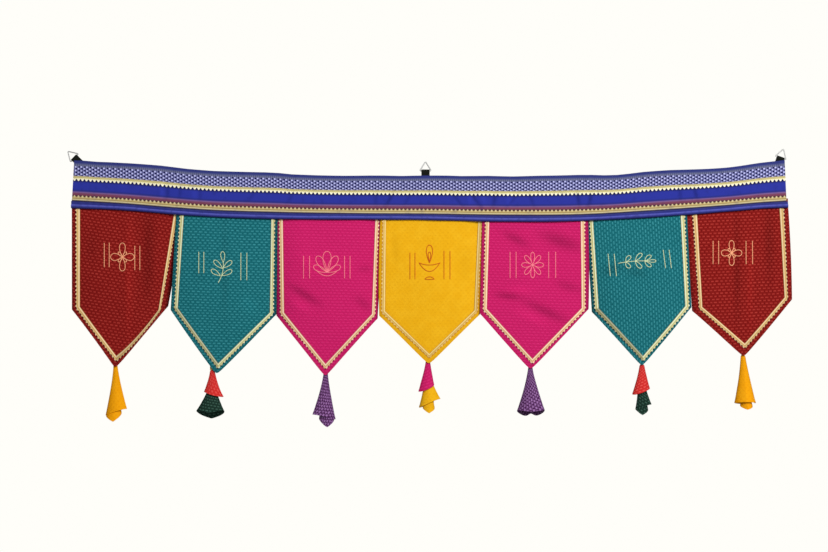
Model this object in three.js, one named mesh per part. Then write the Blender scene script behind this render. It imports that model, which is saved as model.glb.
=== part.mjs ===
// Door toran: a sagging woven heading with pointed cloth panels, gold lace edging and rolled cloth
// tassels, hung from three wire rings by ribbon tabs.
// Millimetres, +Z up, +X to the viewer's right, and the front faces -Y.
// The origin is the point of the middle ring that bears on its nail.
import * as THREE from 'three';

// Cloth thicknesses, and the air left between pieces that are sewn together
const bandThickness = 2;
const panelThickness = 1.6;
const laceThickness = 1;
const ribbonThickness = 1;
const tasselThickness = 1;
const seamGap = 0.4;

// Wire rings and their ribbon tabs
const ring = {
  side: 15.6, wireRadius: 0.75, cornerRadius: 1, cornerSwings: [-60, -30, 0, 30, 60],
  wireSides: 6, wireSteps: 30,
};
const ringHeight = ring.side * Math.sin(Math.PI / 3);
const ringInsideApex = ringHeight - ring.cornerRadius - ring.wireRadius;
const ribbon = { length: 17, foldLength: 4 };
const ribbonLoopRadius = ring.wireRadius + 0.3;
const ribbonLegGap = 0.4;
const ribbonHalfDepth = ribbonLegGap / 2 + ribbonThickness;

// Each hanger: the middle of the ring's lower bar, the turn of ring and tab to the right, the ring's lean
// to the wall, the ribbon's width, and how much further back it sits where its fold is behind the band
const middleLean = 18;
const hangerRows = [
  { name: 'left', x: -473, z: 6.3, turn: -46, lean: 10, width: 10.2, back: 0 },
  { name: 'middle', x: 0, z: -ringInsideApex * Math.cos(radians(middleLean)), turn: 0, lean: middleLean,
    width: 11.2, back: 0 },
  { name: 'right', x: 478.8, z: 6.3, turn: 20, lean: 10, width: 10.6, back: 0.9 },
];

// The heading from left to right: the band's top edge, its seam with the piping, the piping's lower
// edge (all heights), and how far the cloth bows out from the wall (towards +Y) at each place
const headingRows = [
  { x: -478, top: 2.9, seam: -51.5, hem: -61.0, bow: 0.5 },
  { x: -406, top: -0.1, seam: -55.9, hem: -63.9, bow: -1.5 },
  { x: -341, top: -5.7, seam: -61.2, hem: -69.3, bow: -3.0 },
  { x: -277, top: -10.9, seam: -65.3, hem: -73.4, bow: -2.2 },
  { x: -180, top: -15.2, seam: -68.0, hem: -76.0, bow: -0.5 },
  { x: -82, top: -17.2, seam: -69.3, hem: -76.2, bow: 0.8 },
  { x: 0, top: -16.4, seam: -69.8, hem: -76.8, bow: 0 },
  { x: 111, top: -17.9, seam: -71.3, hem: -79.4, bow: -1.8 },
  { x: 208, top: -16.4, seam: -70.7, hem: -78.3, bow: -2.8 },
  { x: 305, top: -11.0, seam: -65.3, hem: -73.4, bow: -2.0 },
  { x: 402, top: -6.4, seam: -58.6, hem: -66.0, bow: -0.8 },
  { x: 450, top: -0.2, seam: -54.6, hem: -61.8, bow: 0 },
  { x: 489, top: 3.8, seam: -52.2, hem: -60.2, bow: 0.5 },
];
const bandEnds = { topLeft: -473, bottomLeft: -476, topRight: 483.5, bottomRight: 486 };
const bandColumns = 48;
const bandRows = 3;
const pipingEnds = { left: -477, right: 488 };
const pipingColumns = 48;
const pipingThickness = [1.2, 3.4, 4, 3.4, 1.2];

// The band hangs in front of the nails by the ring's lean and the thickness of the folded ribbon
const bandY = -ringInsideApex * Math.sin(radians(middleLean))
  - ribbonHalfDepth - seamGap - bandThickness / 2;

// Panel outlines: corners as [x, z], with the two top corners at the piping's lower edge.
// sideBow and lowBow push the middle of the left and right edges outwards.
const panelRows = [
  { cloth: 'red', topLeft: -476.5, topRight: -325, shoulderLeft: [-477, -198], tip: [-418.3, -274.9],
    shoulderRight: [-349, -193.5], sideBow: [0, 0], lowBow: [0, 5] },
  { cloth: 'teal', topLeft: -335.2, topRight: -199.2, shoulderLeft: [-342.8, -198.5], tip: [-280.9, -283.3],
    shoulderRight: [-200.9, -204.3], sideBow: [0, 0], lowBow: [0, 0] },
  { cloth: 'magenta', topLeft: -202.2, topRight: -59.5, shoulderLeft: [-200.7, -206.3], tip: [-135, -286.3],
    shoulderRight: [-65, -210.1], sideBow: [0, 0.6], lowBow: [0, 0] },
  { cloth: 'yellow', topLeft: -60.4, topRight: 79.4, shoulderLeft: [-62.1, -206.3], tip: [4.7, -269.9],
    shoulderRight: [73, -204.5], sideBow: [1.3, 0], lowBow: [0, 0] },
  { cloth: 'magenta', topLeft: 76.7, topRight: 218.7, shoulderLeft: [73.6, -203.5], tip: [141.3, -277.1],
    shoulderRight: [219.3, -197.2], sideBow: [0, 1], lowBow: [0, 0] },
  { cloth: 'teal', topLeft: 217.1, topRight: 352, shoulderLeft: [224.8, -201.2], tip: [291.3, -272.3],
    shoulderRight: [358.3, -194.9], sideBow: [0, 0], lowBow: [0, 0] },
  { cloth: 'red', topLeft: 353.4, topRight: 488.7, shoulderLeft: [360.3, -199.9], tip: [429.1, -259.8],
    shoulderRight: [494.7, -184.3], sideBow: [0, 1], lowBow: [0, 0] },
];
const panelTuckUp = 12;
const panelHalfColumns = 6;
const panelSheetRows = 9;
const tipRadius = 3;

// How each panel hangs: belly swells to the front; tuck sets a side edge behind its neighbour from the
// top down; curl turns a side edge back lower down; swing carries the tip back
const hangRows = [
  { belly: 3, tuckLeft: 0, tuckRight: 6.5, curlLeft: 4, curlRight: 12, swing: 2 },
  { belly: 4, tuckLeft: 0, tuckRight: 0, curlLeft: 0, curlRight: -1, swing: -1 },
  { belly: 3, tuckLeft: 3.6, tuckRight: 3.4, curlLeft: 3, curlRight: 2, swing: 1 },
  { belly: 4, tuckLeft: 0, tuckRight: 3.6, curlLeft: -1, curlRight: 2, swing: -2 },
  { belly: 3, tuckLeft: 0, tuckRight: 0, curlLeft: -1, curlRight: -1, swing: 1 },
  { belly: 4, tuckLeft: 3.4, tuckRight: 0, curlLeft: 3, curlRight: 3, swing: 0 },
  { belly: 3, tuckLeft: 0, tuckRight: 0, curlLeft: 3, curlRight: 5, swing: 2 },
];
const tuckShare = 0.25;
const curlShare = 0.3;

// Lace on each panel: its distance in from the left, both lower and the right edges, and its visible
// width at the top left, left bend, point, right bend and top right
const laceRows = [
  { left: 4.7, lowLeft: 4.8, lowRight: 2.6, right: 7.3, widths: [6.6, 6.6, 5.6, 3, 6.6] },
  { left: 3.9, lowLeft: 3.8, lowRight: 2.2, right: 2.9, widths: [6.2, 5.6, 5.6, 5.6, 5.6] },
  { left: 3.9, lowLeft: 4.3, lowRight: 4.4, right: 3.6, widths: [6.2, 6.4, 5.6, 5.2, 5.8] },
  { left: 1.9, lowLeft: 4.3, lowRight: 3.7, right: 3, widths: [5.4, 5.8, 5.2, 5.4, 6.2] },
  { left: 2.9, lowLeft: 5.1, lowRight: 1.7, right: 3.4, widths: [6.4, 6, 5.6, 6, 6.6] },
  { left: 2.7, lowLeft: 3.6, lowRight: 1.2, right: 2.1, widths: [5.8, 6.2, 5.6, 6.4, 6.6] },
  { left: 6.6, lowLeft: 7.3, lowRight: 4.3, right: 5, widths: [7.2, 5.2, 5.6, 5.6, 7] },
];
const laceSideSteps = 6;
const laceLowSteps = 10;

// Rolled cloth tassels: x and z of the top, the middle of the hem as an offset in x, the half-width at
// the neck and the hem, the height at which that hem width is reached, the lengths at the inner and
// outer free edge, how far the hem lifts at both sides and on the free edge's side, the free edge's
// direction (0 right, -90 front), its extra reach, how much the inner turn tightens, and the way the
// roll winds inwards from the free edge
const tasselRows = [
  { name: 'tassel_1', panel: 0, cloth: 'yellow', x: -418.6, z: -271.5, lean: 2, neck: 2.7, flare: 15.5,
    length: 72, inner: 79, outer: 70, sideLift: 0, slant: 10, edge: -20, reach: 3, tighten: 0.35, way: -1 },
  { name: 'tassel_cap_2', panel: 1, cloth: 'scarlet', x: -286.4, z: -272.5, lean: -2, neck: 2.7, flare: 11.6,
    length: 39, inner: 37, outer: 40, sideLift: 0, slant: 0, edge: -25, reach: 1, tighten: 0, way: -1 },
  { name: 'tassel_skirt_2', panel: 1, cloth: 'green', x: -288, z: -301, lean: -4, neck: 4.7, flare: 20,
    length: 40, inner: 42, outer: 44, sideLift: 10, slant: 0, edge: -35, reach: 1.5, tighten: 0.35, way: -1 },
  { name: 'tassel_3', panel: 2, cloth: 'purple', x: -134.6, z: -283.5, lean: -2, neck: 2.9, flare: 16.5,
    length: 66, inner: 75, outer: 66, sideLift: 0, slant: 10, edge: -160, reach: 3.5, tighten: 0.35, way: 1 },
  { name: 'tassel_cap_4', panel: 3, cloth: 'magenta', x: 3.4, z: -265, lean: -0.4, neck: 2.7, flare: 10,
    length: 38, inner: 33, outer: 35, sideLift: 0, slant: -9, edge: -165, reach: 1, tighten: 0, way: 1 },
  { name: 'tassel_skirt_4', panel: 3, cloth: 'yellow', x: 3, z: -291, lean: 4.6, neck: 3.2, flare: 17,
    length: 42, inner: 47, outer: 36, sideLift: 0, slant: 9, edge: -15, reach: 5, tighten: 0.35, way: -1 },
  { name: 'tassel_5', panel: 4, cloth: 'purple', x: 141.6, z: -273.5, lean: 1.5, neck: 2.7, flare: 19.5,
    length: 62, inner: 66, outer: 69, sideLift: 8, slant: 0, edge: -40, reach: 1.5, tighten: 0.35, way: -1 },
  { name: 'tassel_cap_6', panel: 5, cloth: 'scarlet', x: 291.9, z: -269, lean: -1, neck: 2.7, flare: 11,
    length: 40, inner: 43, outer: 37, sideLift: 0, slant: 3, edge: -10, reach: 2, tighten: 0, way: -1 },
  { name: 'tassel_skirt_6', panel: 5, cloth: 'green', x: 291.2, z: -299, lean: 2.6, neck: 5.1, flare: 12.5,
    length: 36, inner: 43, outer: 35, sideLift: 0, slant: 8, edge: -15, reach: 2, tighten: 0.35, way: -1 },
  { name: 'tassel_7', panel: 6, cloth: 'yellow', x: 428.4, z: -257, lean: 3.2, neck: 2.7, flare: 14,
    length: 66, inner: 75, outer: 67, sideLift: 0, slant: 0, edge: -60, reach: 0.5, tighten: 0.35, way: -1 },
];
const tasselTurns = 1.3;
const tasselPitch = tasselThickness + 0.35;
const tasselDepth = 0.82;
const tasselBell = 1.25;
const tasselWingShare = 0.3;
const tasselColumns = 18;
const tasselSheetRows = 6;

const finishes = {
  blue: { color: '#323f9c', roughness: 0.75, metalness: 0 },
  satin: { color: '#2f3b96', roughness: 0.45, metalness: 0 },
  red: { color: '#96191f', roughness: 0.85, metalness: 0 },
  teal: { color: '#187c82', roughness: 0.85, metalness: 0 },
  magenta: { color: '#cf1f6a', roughness: 0.85, metalness: 0 },
  yellow: { color: '#ebaf1a', roughness: 0.85, metalness: 0 },
  scarlet: { color: '#db3b3b', roughness: 0.85, metalness: 0 },
  green: { color: '#1e3d33', roughness: 0.85, metalness: 0 },
  purple: { color: '#643772', roughness: 0.85, metalness: 0 },
  gold: { color: '#d8c88f', roughness: 0.4, metalness: 0.5 },
  black: { color: '#17161a', roughness: 0.8, metalness: 0 },
  wire: { color: '#b9bbbd', roughness: 0.25, metalness: 1 },
};

function radians(degrees) {
  return THREE.MathUtils.degToRad(degrees);
}

// A column of the heading table at x, on a cubic through its rows
function headingAt(x, column) {
  const last = headingRows.length - 1;
  const slopeAt = (k) => {
    const before = headingRows[Math.max(k - 1, 0)];
    const after = headingRows[Math.min(k + 1, last)];
    return (after[column] - before[column]) / (after.x - before.x);
  };
  const next = headingRows.findIndex((row) => row.x > x);
  const k = next < 0 ? last - 1 : Math.max(next - 1, 0);
  const from = headingRows[k];
  const to = headingRows[k + 1];
  const span = to.x - from.x;
  const t = (x - from.x) / span;
  const ease = t * t * (3 - 2 * t);
  return from[column] * (1 - ease) + to[column] * ease
    + span * t * (1 - t) * (slopeAt(k) * (1 - t) - slopeAt(k + 1) * t);
}

function headingY(x) {
  return bandY + headingAt(x, 'bow');
}

// A closed sheet: middle[i][j] are points of its middle surface, and its two faces stand off that by
// half of thicknessAt(i, j) along the surface's normal
function thickSheet(middle, thicknessAt) {
  const columns = middle.length;
  const rows = middle[0].length;
  const normalAt = (i, j) => {
    const across = middle[Math.min(i + 1, columns - 1)][j].clone().sub(middle[Math.max(i - 1, 0)][j]);
    const along = middle[i][Math.min(j + 1, rows - 1)].clone().sub(middle[i][Math.max(j - 1, 0)]);
    return across.cross(along).normalize();
  };
  const positions = [];
  for (const side of [-0.5, 0.5]) {
    for (let i = 0; i < columns; i += 1) {
      for (let j = 0; j < rows; j += 1) {
        const point = middle[i][j].clone().addScaledVector(normalAt(i, j), side * thicknessAt(i, j));
        positions.push(point.x, point.y, point.z);
      }
    }
  }
  const front = (i, j) => i * rows + j;
  const back = (i, j) => columns * rows + i * rows + j;
  const triangles = [];
  for (let i = 0; i + 1 < columns; i += 1) {
    for (let j = 0; j + 1 < rows; j += 1) {
      triangles.push(back(i, j), back(i + 1, j), back(i + 1, j + 1));
      triangles.push(back(i, j), back(i + 1, j + 1), back(i, j + 1));
      triangles.push(front(i, j), front(i + 1, j + 1), front(i + 1, j));
      triangles.push(front(i, j), front(i, j + 1), front(i + 1, j + 1));
    }
  }
  const rim = [];
  for (let i = 0; i < columns - 1; i += 1) rim.push([i, 0]);
  for (let j = 0; j < rows - 1; j += 1) rim.push([columns - 1, j]);
  for (let i = columns - 1; i > 0; i -= 1) rim.push([i, rows - 1]);
  for (let j = rows - 1; j > 0; j -= 1) rim.push([0, j]);
  rim.forEach((from, k) => {
    const to = rim[(k + 1) % rim.length];
    triangles.push(front(...from), front(...to), back(...to));
    triangles.push(front(...from), back(...to), back(...from));
  });
  const geometry = new THREE.BufferGeometry();
  geometry.setAttribute('position', new THREE.Float32BufferAttribute(positions, 3));
  geometry.setIndex(triangles);
  geometry.computeVertexNormals();
  return geometry;
}

// A grid of middle-surface points, from a function of two shares between 0 and 1
function surface(acrossShares, alongShares, pointAt) {
  return acrossShares.map((u) => alongShares.map((v) => pointAt(u, v)));
}

function evenShares(steps) {
  return Array.from({ length: steps + 1 }, (_, k) => k / steps);
}

// Shares that crowd towards both ends
function crowdedShares(steps) {
  return evenShares(steps).map((share) => (1 - Math.cos(Math.PI * share)) / 2);
}

function headingBand() {
  const middle = surface(evenShares(bandColumns), evenShares(bandRows), (u, v) => {
    const topX = THREE.MathUtils.lerp(bandEnds.topLeft, bandEnds.topRight, u);
    const bottomX = THREE.MathUtils.lerp(bandEnds.bottomLeft, bandEnds.bottomRight, u);
    const x = THREE.MathUtils.lerp(topX, bottomX, v);
    const z = THREE.MathUtils.lerp(headingAt(x, 'top'), headingAt(x, 'seam') + seamGap, v);
    return new THREE.Vector3(x, headingY(x), z);
  });
  return thickSheet(middle, () => bandThickness);
}

// The piping is a folded satin strip, thickest along its middle, flush with the band's back
function bandPiping() {
  const rows = pipingThickness.length - 1;
  const middle = surface(evenShares(pipingColumns), evenShares(rows), (u, v) => {
    const x = THREE.MathUtils.lerp(pipingEnds.left, pipingEnds.right, u);
    const z = THREE.MathUtils.lerp(headingAt(x, 'seam'), headingAt(x, 'hem'), v);
    const backSet = bandThickness / 2 - pipingThickness[Math.round(v * rows)] / 2;
    return new THREE.Vector3(x, headingY(x) + backSet, z);
  });
  return thickSheet(middle, (i, j) => pipingThickness[j]);
}

// The x of a panel's left (-1) or right (1) side edge at height z; below its shoulder it runs on straight
function sideX(panel, side, z) {
  const topX = side < 0 ? panel.topLeft : panel.topRight;
  const [shoulderX, shoulderZ] = side < 0 ? panel.shoulderLeft : panel.shoulderRight;
  const topZ = headingAt(topX, 'hem');
  const share = (topZ - z) / (topZ - shoulderZ);
  const within = THREE.MathUtils.clamp(share, 0, 1);
  const bow = panel.sideBow[side < 0 ? 0 : 1] * 4 * within * (1 - within);
  return THREE.MathUtils.lerp(topX, shoulderX, share) + side * bow;
}

// 1 at the edge, easing to 0 at the given share of the width
function edgeShare(share, width) {
  return Math.max(0, 1 - share / width) ** 2;
}

// The y of a panel's middle surface at x and z
function panelY(panel, hang, x, z) {
  const left = sideX(panel, -1, z);
  const right = sideX(panel, 1, z);
  const u = THREE.MathUtils.clamp((x - left) / (right - left), 0, 1);
  const hem = headingAt(x, 'hem');
  const fall = THREE.MathUtils.clamp((hem - z) / (hem - panel.tip[1]), 0, 1);
  const behindBand = (bandThickness + panelThickness) / 2 + seamGap;
  const tuck = hang.tuckLeft * edgeShare(u, tuckShare) + hang.tuckRight * edgeShare(1 - u, tuckShare);
  const curl = hang.curlLeft * edgeShare(u, curlShare) + hang.curlRight * edgeShare(1 - u, curlShare);
  const belly = hang.belly * Math.sin(Math.PI * u) * Math.sin(Math.PI * fall);
  return headingY(x) + behindBand + tuck + curl * Math.sin((Math.PI / 2) * fall) - belly
    + hang.swing * fall * fall;
}

// The height of a panel's lower edge at share u across it, with the point rounded off
function lowerEdgeZ(panel, u, tipShare) {
  const leftHalf = u < tipShare;
  const shoulderZ = (leftHalf ? panel.shoulderLeft : panel.shoulderRight)[1];
  const away = leftHalf ? (tipShare - u) / tipShare : (u - tipShare) / (1 - tipShare);
  const rise = shoulderZ - panel.tip[1];
  const rounding = tipRadius / rise;
  const softened = (Math.hypot(away, rounding) - rounding) / (Math.hypot(1, rounding) - rounding);
  const bow = panel.lowBow[leftHalf ? 0 : 1] * 4 * away * (1 - away);
  return panel.tip[1] + rise * softened - bow;
}

function pointedPanel(panel, hang) {
  const tipLeft = sideX(panel, -1, panel.tip[1]);
  const tipRight = sideX(panel, 1, panel.tip[1]);
  const tipShare = (panel.tip[0] - tipLeft) / (tipRight - tipLeft);
  const half = crowdedShares(panelHalfColumns);
  const leftShares = half.map((share) => share * tipShare);
  const rightShares = half.slice(1).map((share) => tipShare + share * (1 - tipShare));
  const across = [...leftShares, ...rightShares];
  const middle = surface(across, evenShares(panelSheetRows), (u, v) => {
    const topX = THREE.MathUtils.lerp(panel.topLeft, panel.topRight, u);
    const topZ = headingAt(topX, 'hem') + panelTuckUp;
    const z = THREE.MathUtils.lerp(topZ, lowerEdgeZ(panel, u, tipShare), v);
    const x = THREE.MathUtils.lerp(sideX(panel, -1, z), sideX(panel, 1, z), u);
    return new THREE.Vector3(x, panelY(panel, hang, x, z), z);
  });
  return thickSheet(middle, () => panelThickness);
}

// The corner at b of the outline a, b, c once its two edges are moved inwards
function insetCorner(a, b, c, insetBefore, insetAfter) {
  const inward = (from, to) => {
    const length = Math.hypot(to[0] - from[0], to[1] - from[1]);
    return [(from[1] - to[1]) / length, (to[0] - from[0]) / length];
  };
  const before = inward(a, b);
  const after = inward(b, c);
  const cross = before[0] * after[1] - before[1] * after[0];
  return [
    b[0] + (insetBefore * after[1] - insetAfter * before[1]) / cross,
    b[1] + (before[0] * insetAfter - after[0] * insetBefore) / cross,
  ];
}

// The lace's outer (share 0) or inner (share 1) edge: top left, left bend, point, right bend, top right
function laceCorners(panel, lace, share) {
  const widths = lace.widths.map((width) => share * width);
  const { left, lowLeft, lowRight, right } = lace;
  const { shoulderLeft, tip, shoulderRight } = panel;
  const topLeft = [panel.topLeft, headingAt(panel.topLeft, 'hem')];
  const topRight = [panel.topRight, headingAt(panel.topRight, 'hem')];
  const atTop = (x) => [x, headingAt(x, 'hem') - seamGap];
  return [
    atTop(panel.topLeft + left + widths[0]),
    insetCorner(topLeft, shoulderLeft, tip, left + widths[1], lowLeft + widths[1]),
    insetCorner(shoulderLeft, tip, shoulderRight, lowLeft + widths[2], lowRight + widths[2]),
    insetCorner(tip, shoulderRight, topRight, lowRight + widths[3], right + widths[3]),
    atTop(panel.topRight - right - widths[4]),
  ];
}

// Points along a line of corners, with the given steps on each leg and each leg bowed down by bows
function alongCorners(corners, steps, bows) {
  const points = [corners[0]];
  steps.forEach((count, leg) => {
    const [from, to] = [corners[leg], corners[leg + 1]];
    for (let k = 1; k <= count; k += 1) {
      const share = k / count;
      const drop = bows[leg] * 4 * share * (1 - share);
      points.push([
        THREE.MathUtils.lerp(from[0], to[0], share),
        THREE.MathUtils.lerp(from[1], to[1], share) - drop,
      ]);
    }
  });
  return points;
}

function panelLace(panel, hang, lace) {
  const steps = [laceSideSteps, laceLowSteps, laceLowSteps, laceSideSteps];
  const bows = [0, ...panel.lowBow, 0];
  const outer = alongCorners(laceCorners(panel, lace, 0), steps, bows);
  const inner = alongCorners(laceCorners(panel, lace, 1), steps, bows);
  const inFront = (panelThickness + laceThickness) / 2 + seamGap;
  const onPanel = ([x, z]) => new THREE.Vector3(x, panelY(panel, hang, x, z) - inFront, z);
  const middle = outer.map((point, k) => [onPanel(inner[k]), onPanel(point)]);
  return thickSheet(middle, () => laceThickness);
}

// A square of cloth rolled into a cone: t runs round the roll from the inner edge to the outer free
// edge, s runs down it, and each turn lies inside the one before, tighter towards the inner edge
function rolledCone(row, panel, hang) {
  const neckY = panelY(panel, hang, panel.tip[0], panel.tip[1]) + panelThickness / 2 + seamGap
    + tasselDepth * (tasselRows[0].neck + tasselThickness / 2) + seamGap;
  const middle = surface(evenShares(tasselColumns), evenShares(tasselSheetRows), (t, s) => {
    const turnsIn = (1 - t) * tasselTurns;
    const angle = radians(row.edge) + row.way * turnsIn * 2 * Math.PI;
    const lift = row.sideLift * Math.cos(angle) ** 2
      + row.slant * (1 + Math.cos(angle - radians(row.edge))) / 2;
    const inwards = (1 - t) ** 2;
    const drop = s * (THREE.MathUtils.lerp(row.outer, row.inner, inwards) - lift);
    const down = drop / row.length;
    const flare = row.neck + (row.flare - row.neck) * down ** tasselBell * (1 - row.tighten * inwards);
    const wing = row.reach * down * down * edgeShare(turnsIn, tasselWingShare);
    const radius = flare + wing - tasselPitch * turnsIn;
    return new THREE.Vector3(
      row.x + row.lean * down + radius * Math.cos(angle),
      neckY + tasselDepth * radius * Math.sin(angle),
      row.z - drop,
    );
  });
  return thickSheet(middle, () => tasselThickness);
}

// A triangle of bent wire standing on its lower bar, which lies along X at the origin
function wireRing() {
  const corners = [[-ring.side / 2, 0, 210], [ring.side / 2, 0, -30], [0, ringHeight, 90]];
  const points = [];
  for (const [x, z, outward] of corners) {
    const centreX = x - 2 * ring.cornerRadius * Math.cos(radians(outward));
    const centreZ = z - 2 * ring.cornerRadius * Math.sin(radians(outward));
    for (const swing of ring.cornerSwings) {
      const angle = radians(outward + swing);
      points.push(new THREE.Vector3(
        centreX + ring.cornerRadius * Math.cos(angle), 0, centreZ + ring.cornerRadius * Math.sin(angle),
      ));
    }
  }
  const path = new THREE.CatmullRomCurve3(points, true, 'catmullrom', 0);
  return new THREE.TubeGeometry(path, ring.wireSteps, ring.wireRadius, ring.wireSides, true);
}

// A ribbon folded over the ring's lower bar, its two legs brought together below
function ribbonTab(width) {
  const outerRadius = ribbonLoopRadius + ribbonThickness;
  const legInside = ribbonLegGap / 2;
  const profile = new THREE.Shape();
  profile.moveTo(-ribbonHalfDepth, -ribbon.length);
  profile.lineTo(-ribbonHalfDepth, -ribbon.foldLength);
  profile.quadraticCurveTo(-outerRadius, -ribbon.foldLength / 2, -outerRadius, 0);
  profile.absarc(0, 0, outerRadius, Math.PI, 0, true);
  profile.quadraticCurveTo(outerRadius, -ribbon.foldLength / 2, ribbonHalfDepth, -ribbon.foldLength);
  profile.lineTo(ribbonHalfDepth, -ribbon.length);
  profile.lineTo(legInside, -ribbon.length);
  profile.lineTo(legInside, -ribbon.foldLength);
  profile.quadraticCurveTo(ribbonLoopRadius, -ribbon.foldLength / 2, ribbonLoopRadius, 0);
  profile.absarc(0, 0, ribbonLoopRadius, 0, Math.PI, false);
  profile.quadraticCurveTo(-ribbonLoopRadius, -ribbon.foldLength / 2, -legInside, -ribbon.foldLength);
  profile.lineTo(-legInside, -ribbon.length);
  const geometry = new THREE.ExtrudeGeometry(profile, {
    depth: width, bevelEnabled: false, curveSegments: 5,
  });
  geometry.translate(0, 0, -width / 2);
  // The profile is drawn in depth and height, and the extrusion runs along the width
  const toPlace = new THREE.Matrix4().makeBasis(
    new THREE.Vector3(0, 1, 0), new THREE.Vector3(0, 0, 1), new THREE.Vector3(1, 0, 0),
  );
  return geometry.applyMatrix4(toPlace);
}

function piece(name, geometry, finish) {
  const mesh = new THREE.Mesh(geometry, new THREE.MeshStandardMaterial(finishes[finish]));
  mesh.name = name;
  return mesh;
}

const toran = new THREE.Group();
toran.add(piece('heading_band', headingBand(), 'blue'));
toran.add(piece('band_piping', bandPiping(), 'satin'));

panelRows.forEach((panel, k) => {
  toran.add(piece(`panel_${k + 1}`, pointedPanel(panel, hangRows[k]), panel.cloth));
  toran.add(piece(`panel_lace_${k + 1}`, panelLace(panel, hangRows[k], laceRows[k]), 'gold'));
});

for (const row of tasselRows) {
  toran.add(piece(row.name, rolledCone(row, panelRows[row.panel], hangRows[row.panel]), row.cloth));
}

for (const row of hangerRows) {
  const hanger = new THREE.Group();
  const barY = headingY(row.x) + bandThickness / 2 + seamGap + ribbonHalfDepth + row.back;
  hanger.position.set(row.x, barY, row.z);
  hanger.rotation.y = radians(row.turn);
  const wire = piece(`hanger_ring_${row.name}`, wireRing(), 'wire');
  wire.rotation.x = -radians(row.lean);
  hanger.add(wire, piece(`hanger_tab_${row.name}`, ribbonTab(row.width), 'black'));
  toran.add(hanger);
}

export default toran;
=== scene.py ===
# Door toran: cloth, lace, stitching and hangers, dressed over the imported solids.
# Tables are in millimetres and meshes in metres: +X to the viewer's right, +Z up, front towards -Y.
import math

import bpy
import numpy as np
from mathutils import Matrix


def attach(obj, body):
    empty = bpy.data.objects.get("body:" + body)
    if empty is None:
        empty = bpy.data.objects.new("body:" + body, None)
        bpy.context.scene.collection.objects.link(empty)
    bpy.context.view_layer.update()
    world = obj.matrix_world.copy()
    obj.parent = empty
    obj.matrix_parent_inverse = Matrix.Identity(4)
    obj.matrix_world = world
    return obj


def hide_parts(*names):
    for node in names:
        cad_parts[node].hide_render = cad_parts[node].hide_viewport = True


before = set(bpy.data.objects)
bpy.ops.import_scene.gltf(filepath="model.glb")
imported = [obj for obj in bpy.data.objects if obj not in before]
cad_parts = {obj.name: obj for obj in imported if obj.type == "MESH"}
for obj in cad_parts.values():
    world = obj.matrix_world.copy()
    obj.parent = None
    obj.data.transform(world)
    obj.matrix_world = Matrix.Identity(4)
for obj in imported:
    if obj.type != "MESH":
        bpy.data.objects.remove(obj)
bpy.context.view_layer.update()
mm = 0.001
print("frame loaded:", len(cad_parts), "solids")

# Camera: square on to the toran, with the photo's frame of 828 by 552 pixels
view = {"lens": 85, "sensor": 36, "framePixels": 828, "mmPerPixel": 1.346,
        "hangPixel": (425.5, 162.5), "centrePixel": (414, 276), "clothY": -7}
camera = bpy.data.objects.new("camera", bpy.data.cameras.new("camera"))
bpy.context.scene.collection.objects.link(camera)
camera.data.lens = view["lens"]
camera.data.sensor_width = view["sensor"]
cameraDistance = view["framePixels"] * view["mmPerPixel"] * view["lens"] / view["sensor"]
camera.location = ((view["centrePixel"][0] - view["hangPixel"][0]) * view["mmPerPixel"] * mm,
                   (view["clothY"] - cameraDistance) * mm,
                   (view["hangPixel"][1] - view["centrePixel"][1]) * view["mmPerPixel"] * mm)
camera.rotation_euler = (math.pi / 2, 0, 0)
bpy.context.scene.camera = camera


# Mesh helpers

# Quads of a grid of points that are numbered column by column
def gridQuads(columns, rows):
    i, j = np.meshgrid(np.arange(columns - 1), np.arange(rows - 1), indexing="ij")
    first = i * rows + j
    return np.stack([first, first + rows, first + rows + 1, first + 1], -1).reshape(-1, 4)


# Unit normals of a grid of points: the cross product of its two directions
def gridNormals(points):
    normals = np.cross(np.gradient(points, axis=0), np.gradient(points, axis=1))
    return normals / np.maximum(np.linalg.norm(normals, axis=-1, keepdims=True), 1e-9)


# A closed sheet: two copies of the middle surface, half a thickness to either side, and a rim
def thickSheet(middle, thickness, uv):
    columns, rows = middle.shape[:2]
    offset = gridNormals(middle) * (np.broadcast_to(thickness, (columns, rows))[..., None] / 2)
    vertices = np.concatenate([(middle - offset).reshape(-1, 3), (middle + offset).reshape(-1, 3)])
    quads = gridQuads(columns, rows)
    number = np.arange(columns * rows).reshape(columns, rows)
    rim = np.concatenate([number[:-1, 0], number[-1, :-1], number[:0:-1, -1], number[0, :0:-1]])
    after = np.roll(rim, -1)
    back = columns * rows
    sides = np.stack([rim, after, after + back, rim + back], -1)
    faces = [np.concatenate([quads[:, ::-1], quads + back, sides])]
    return vertices, faces, np.concatenate([uv.reshape(-1, 2)] * 2)


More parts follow.
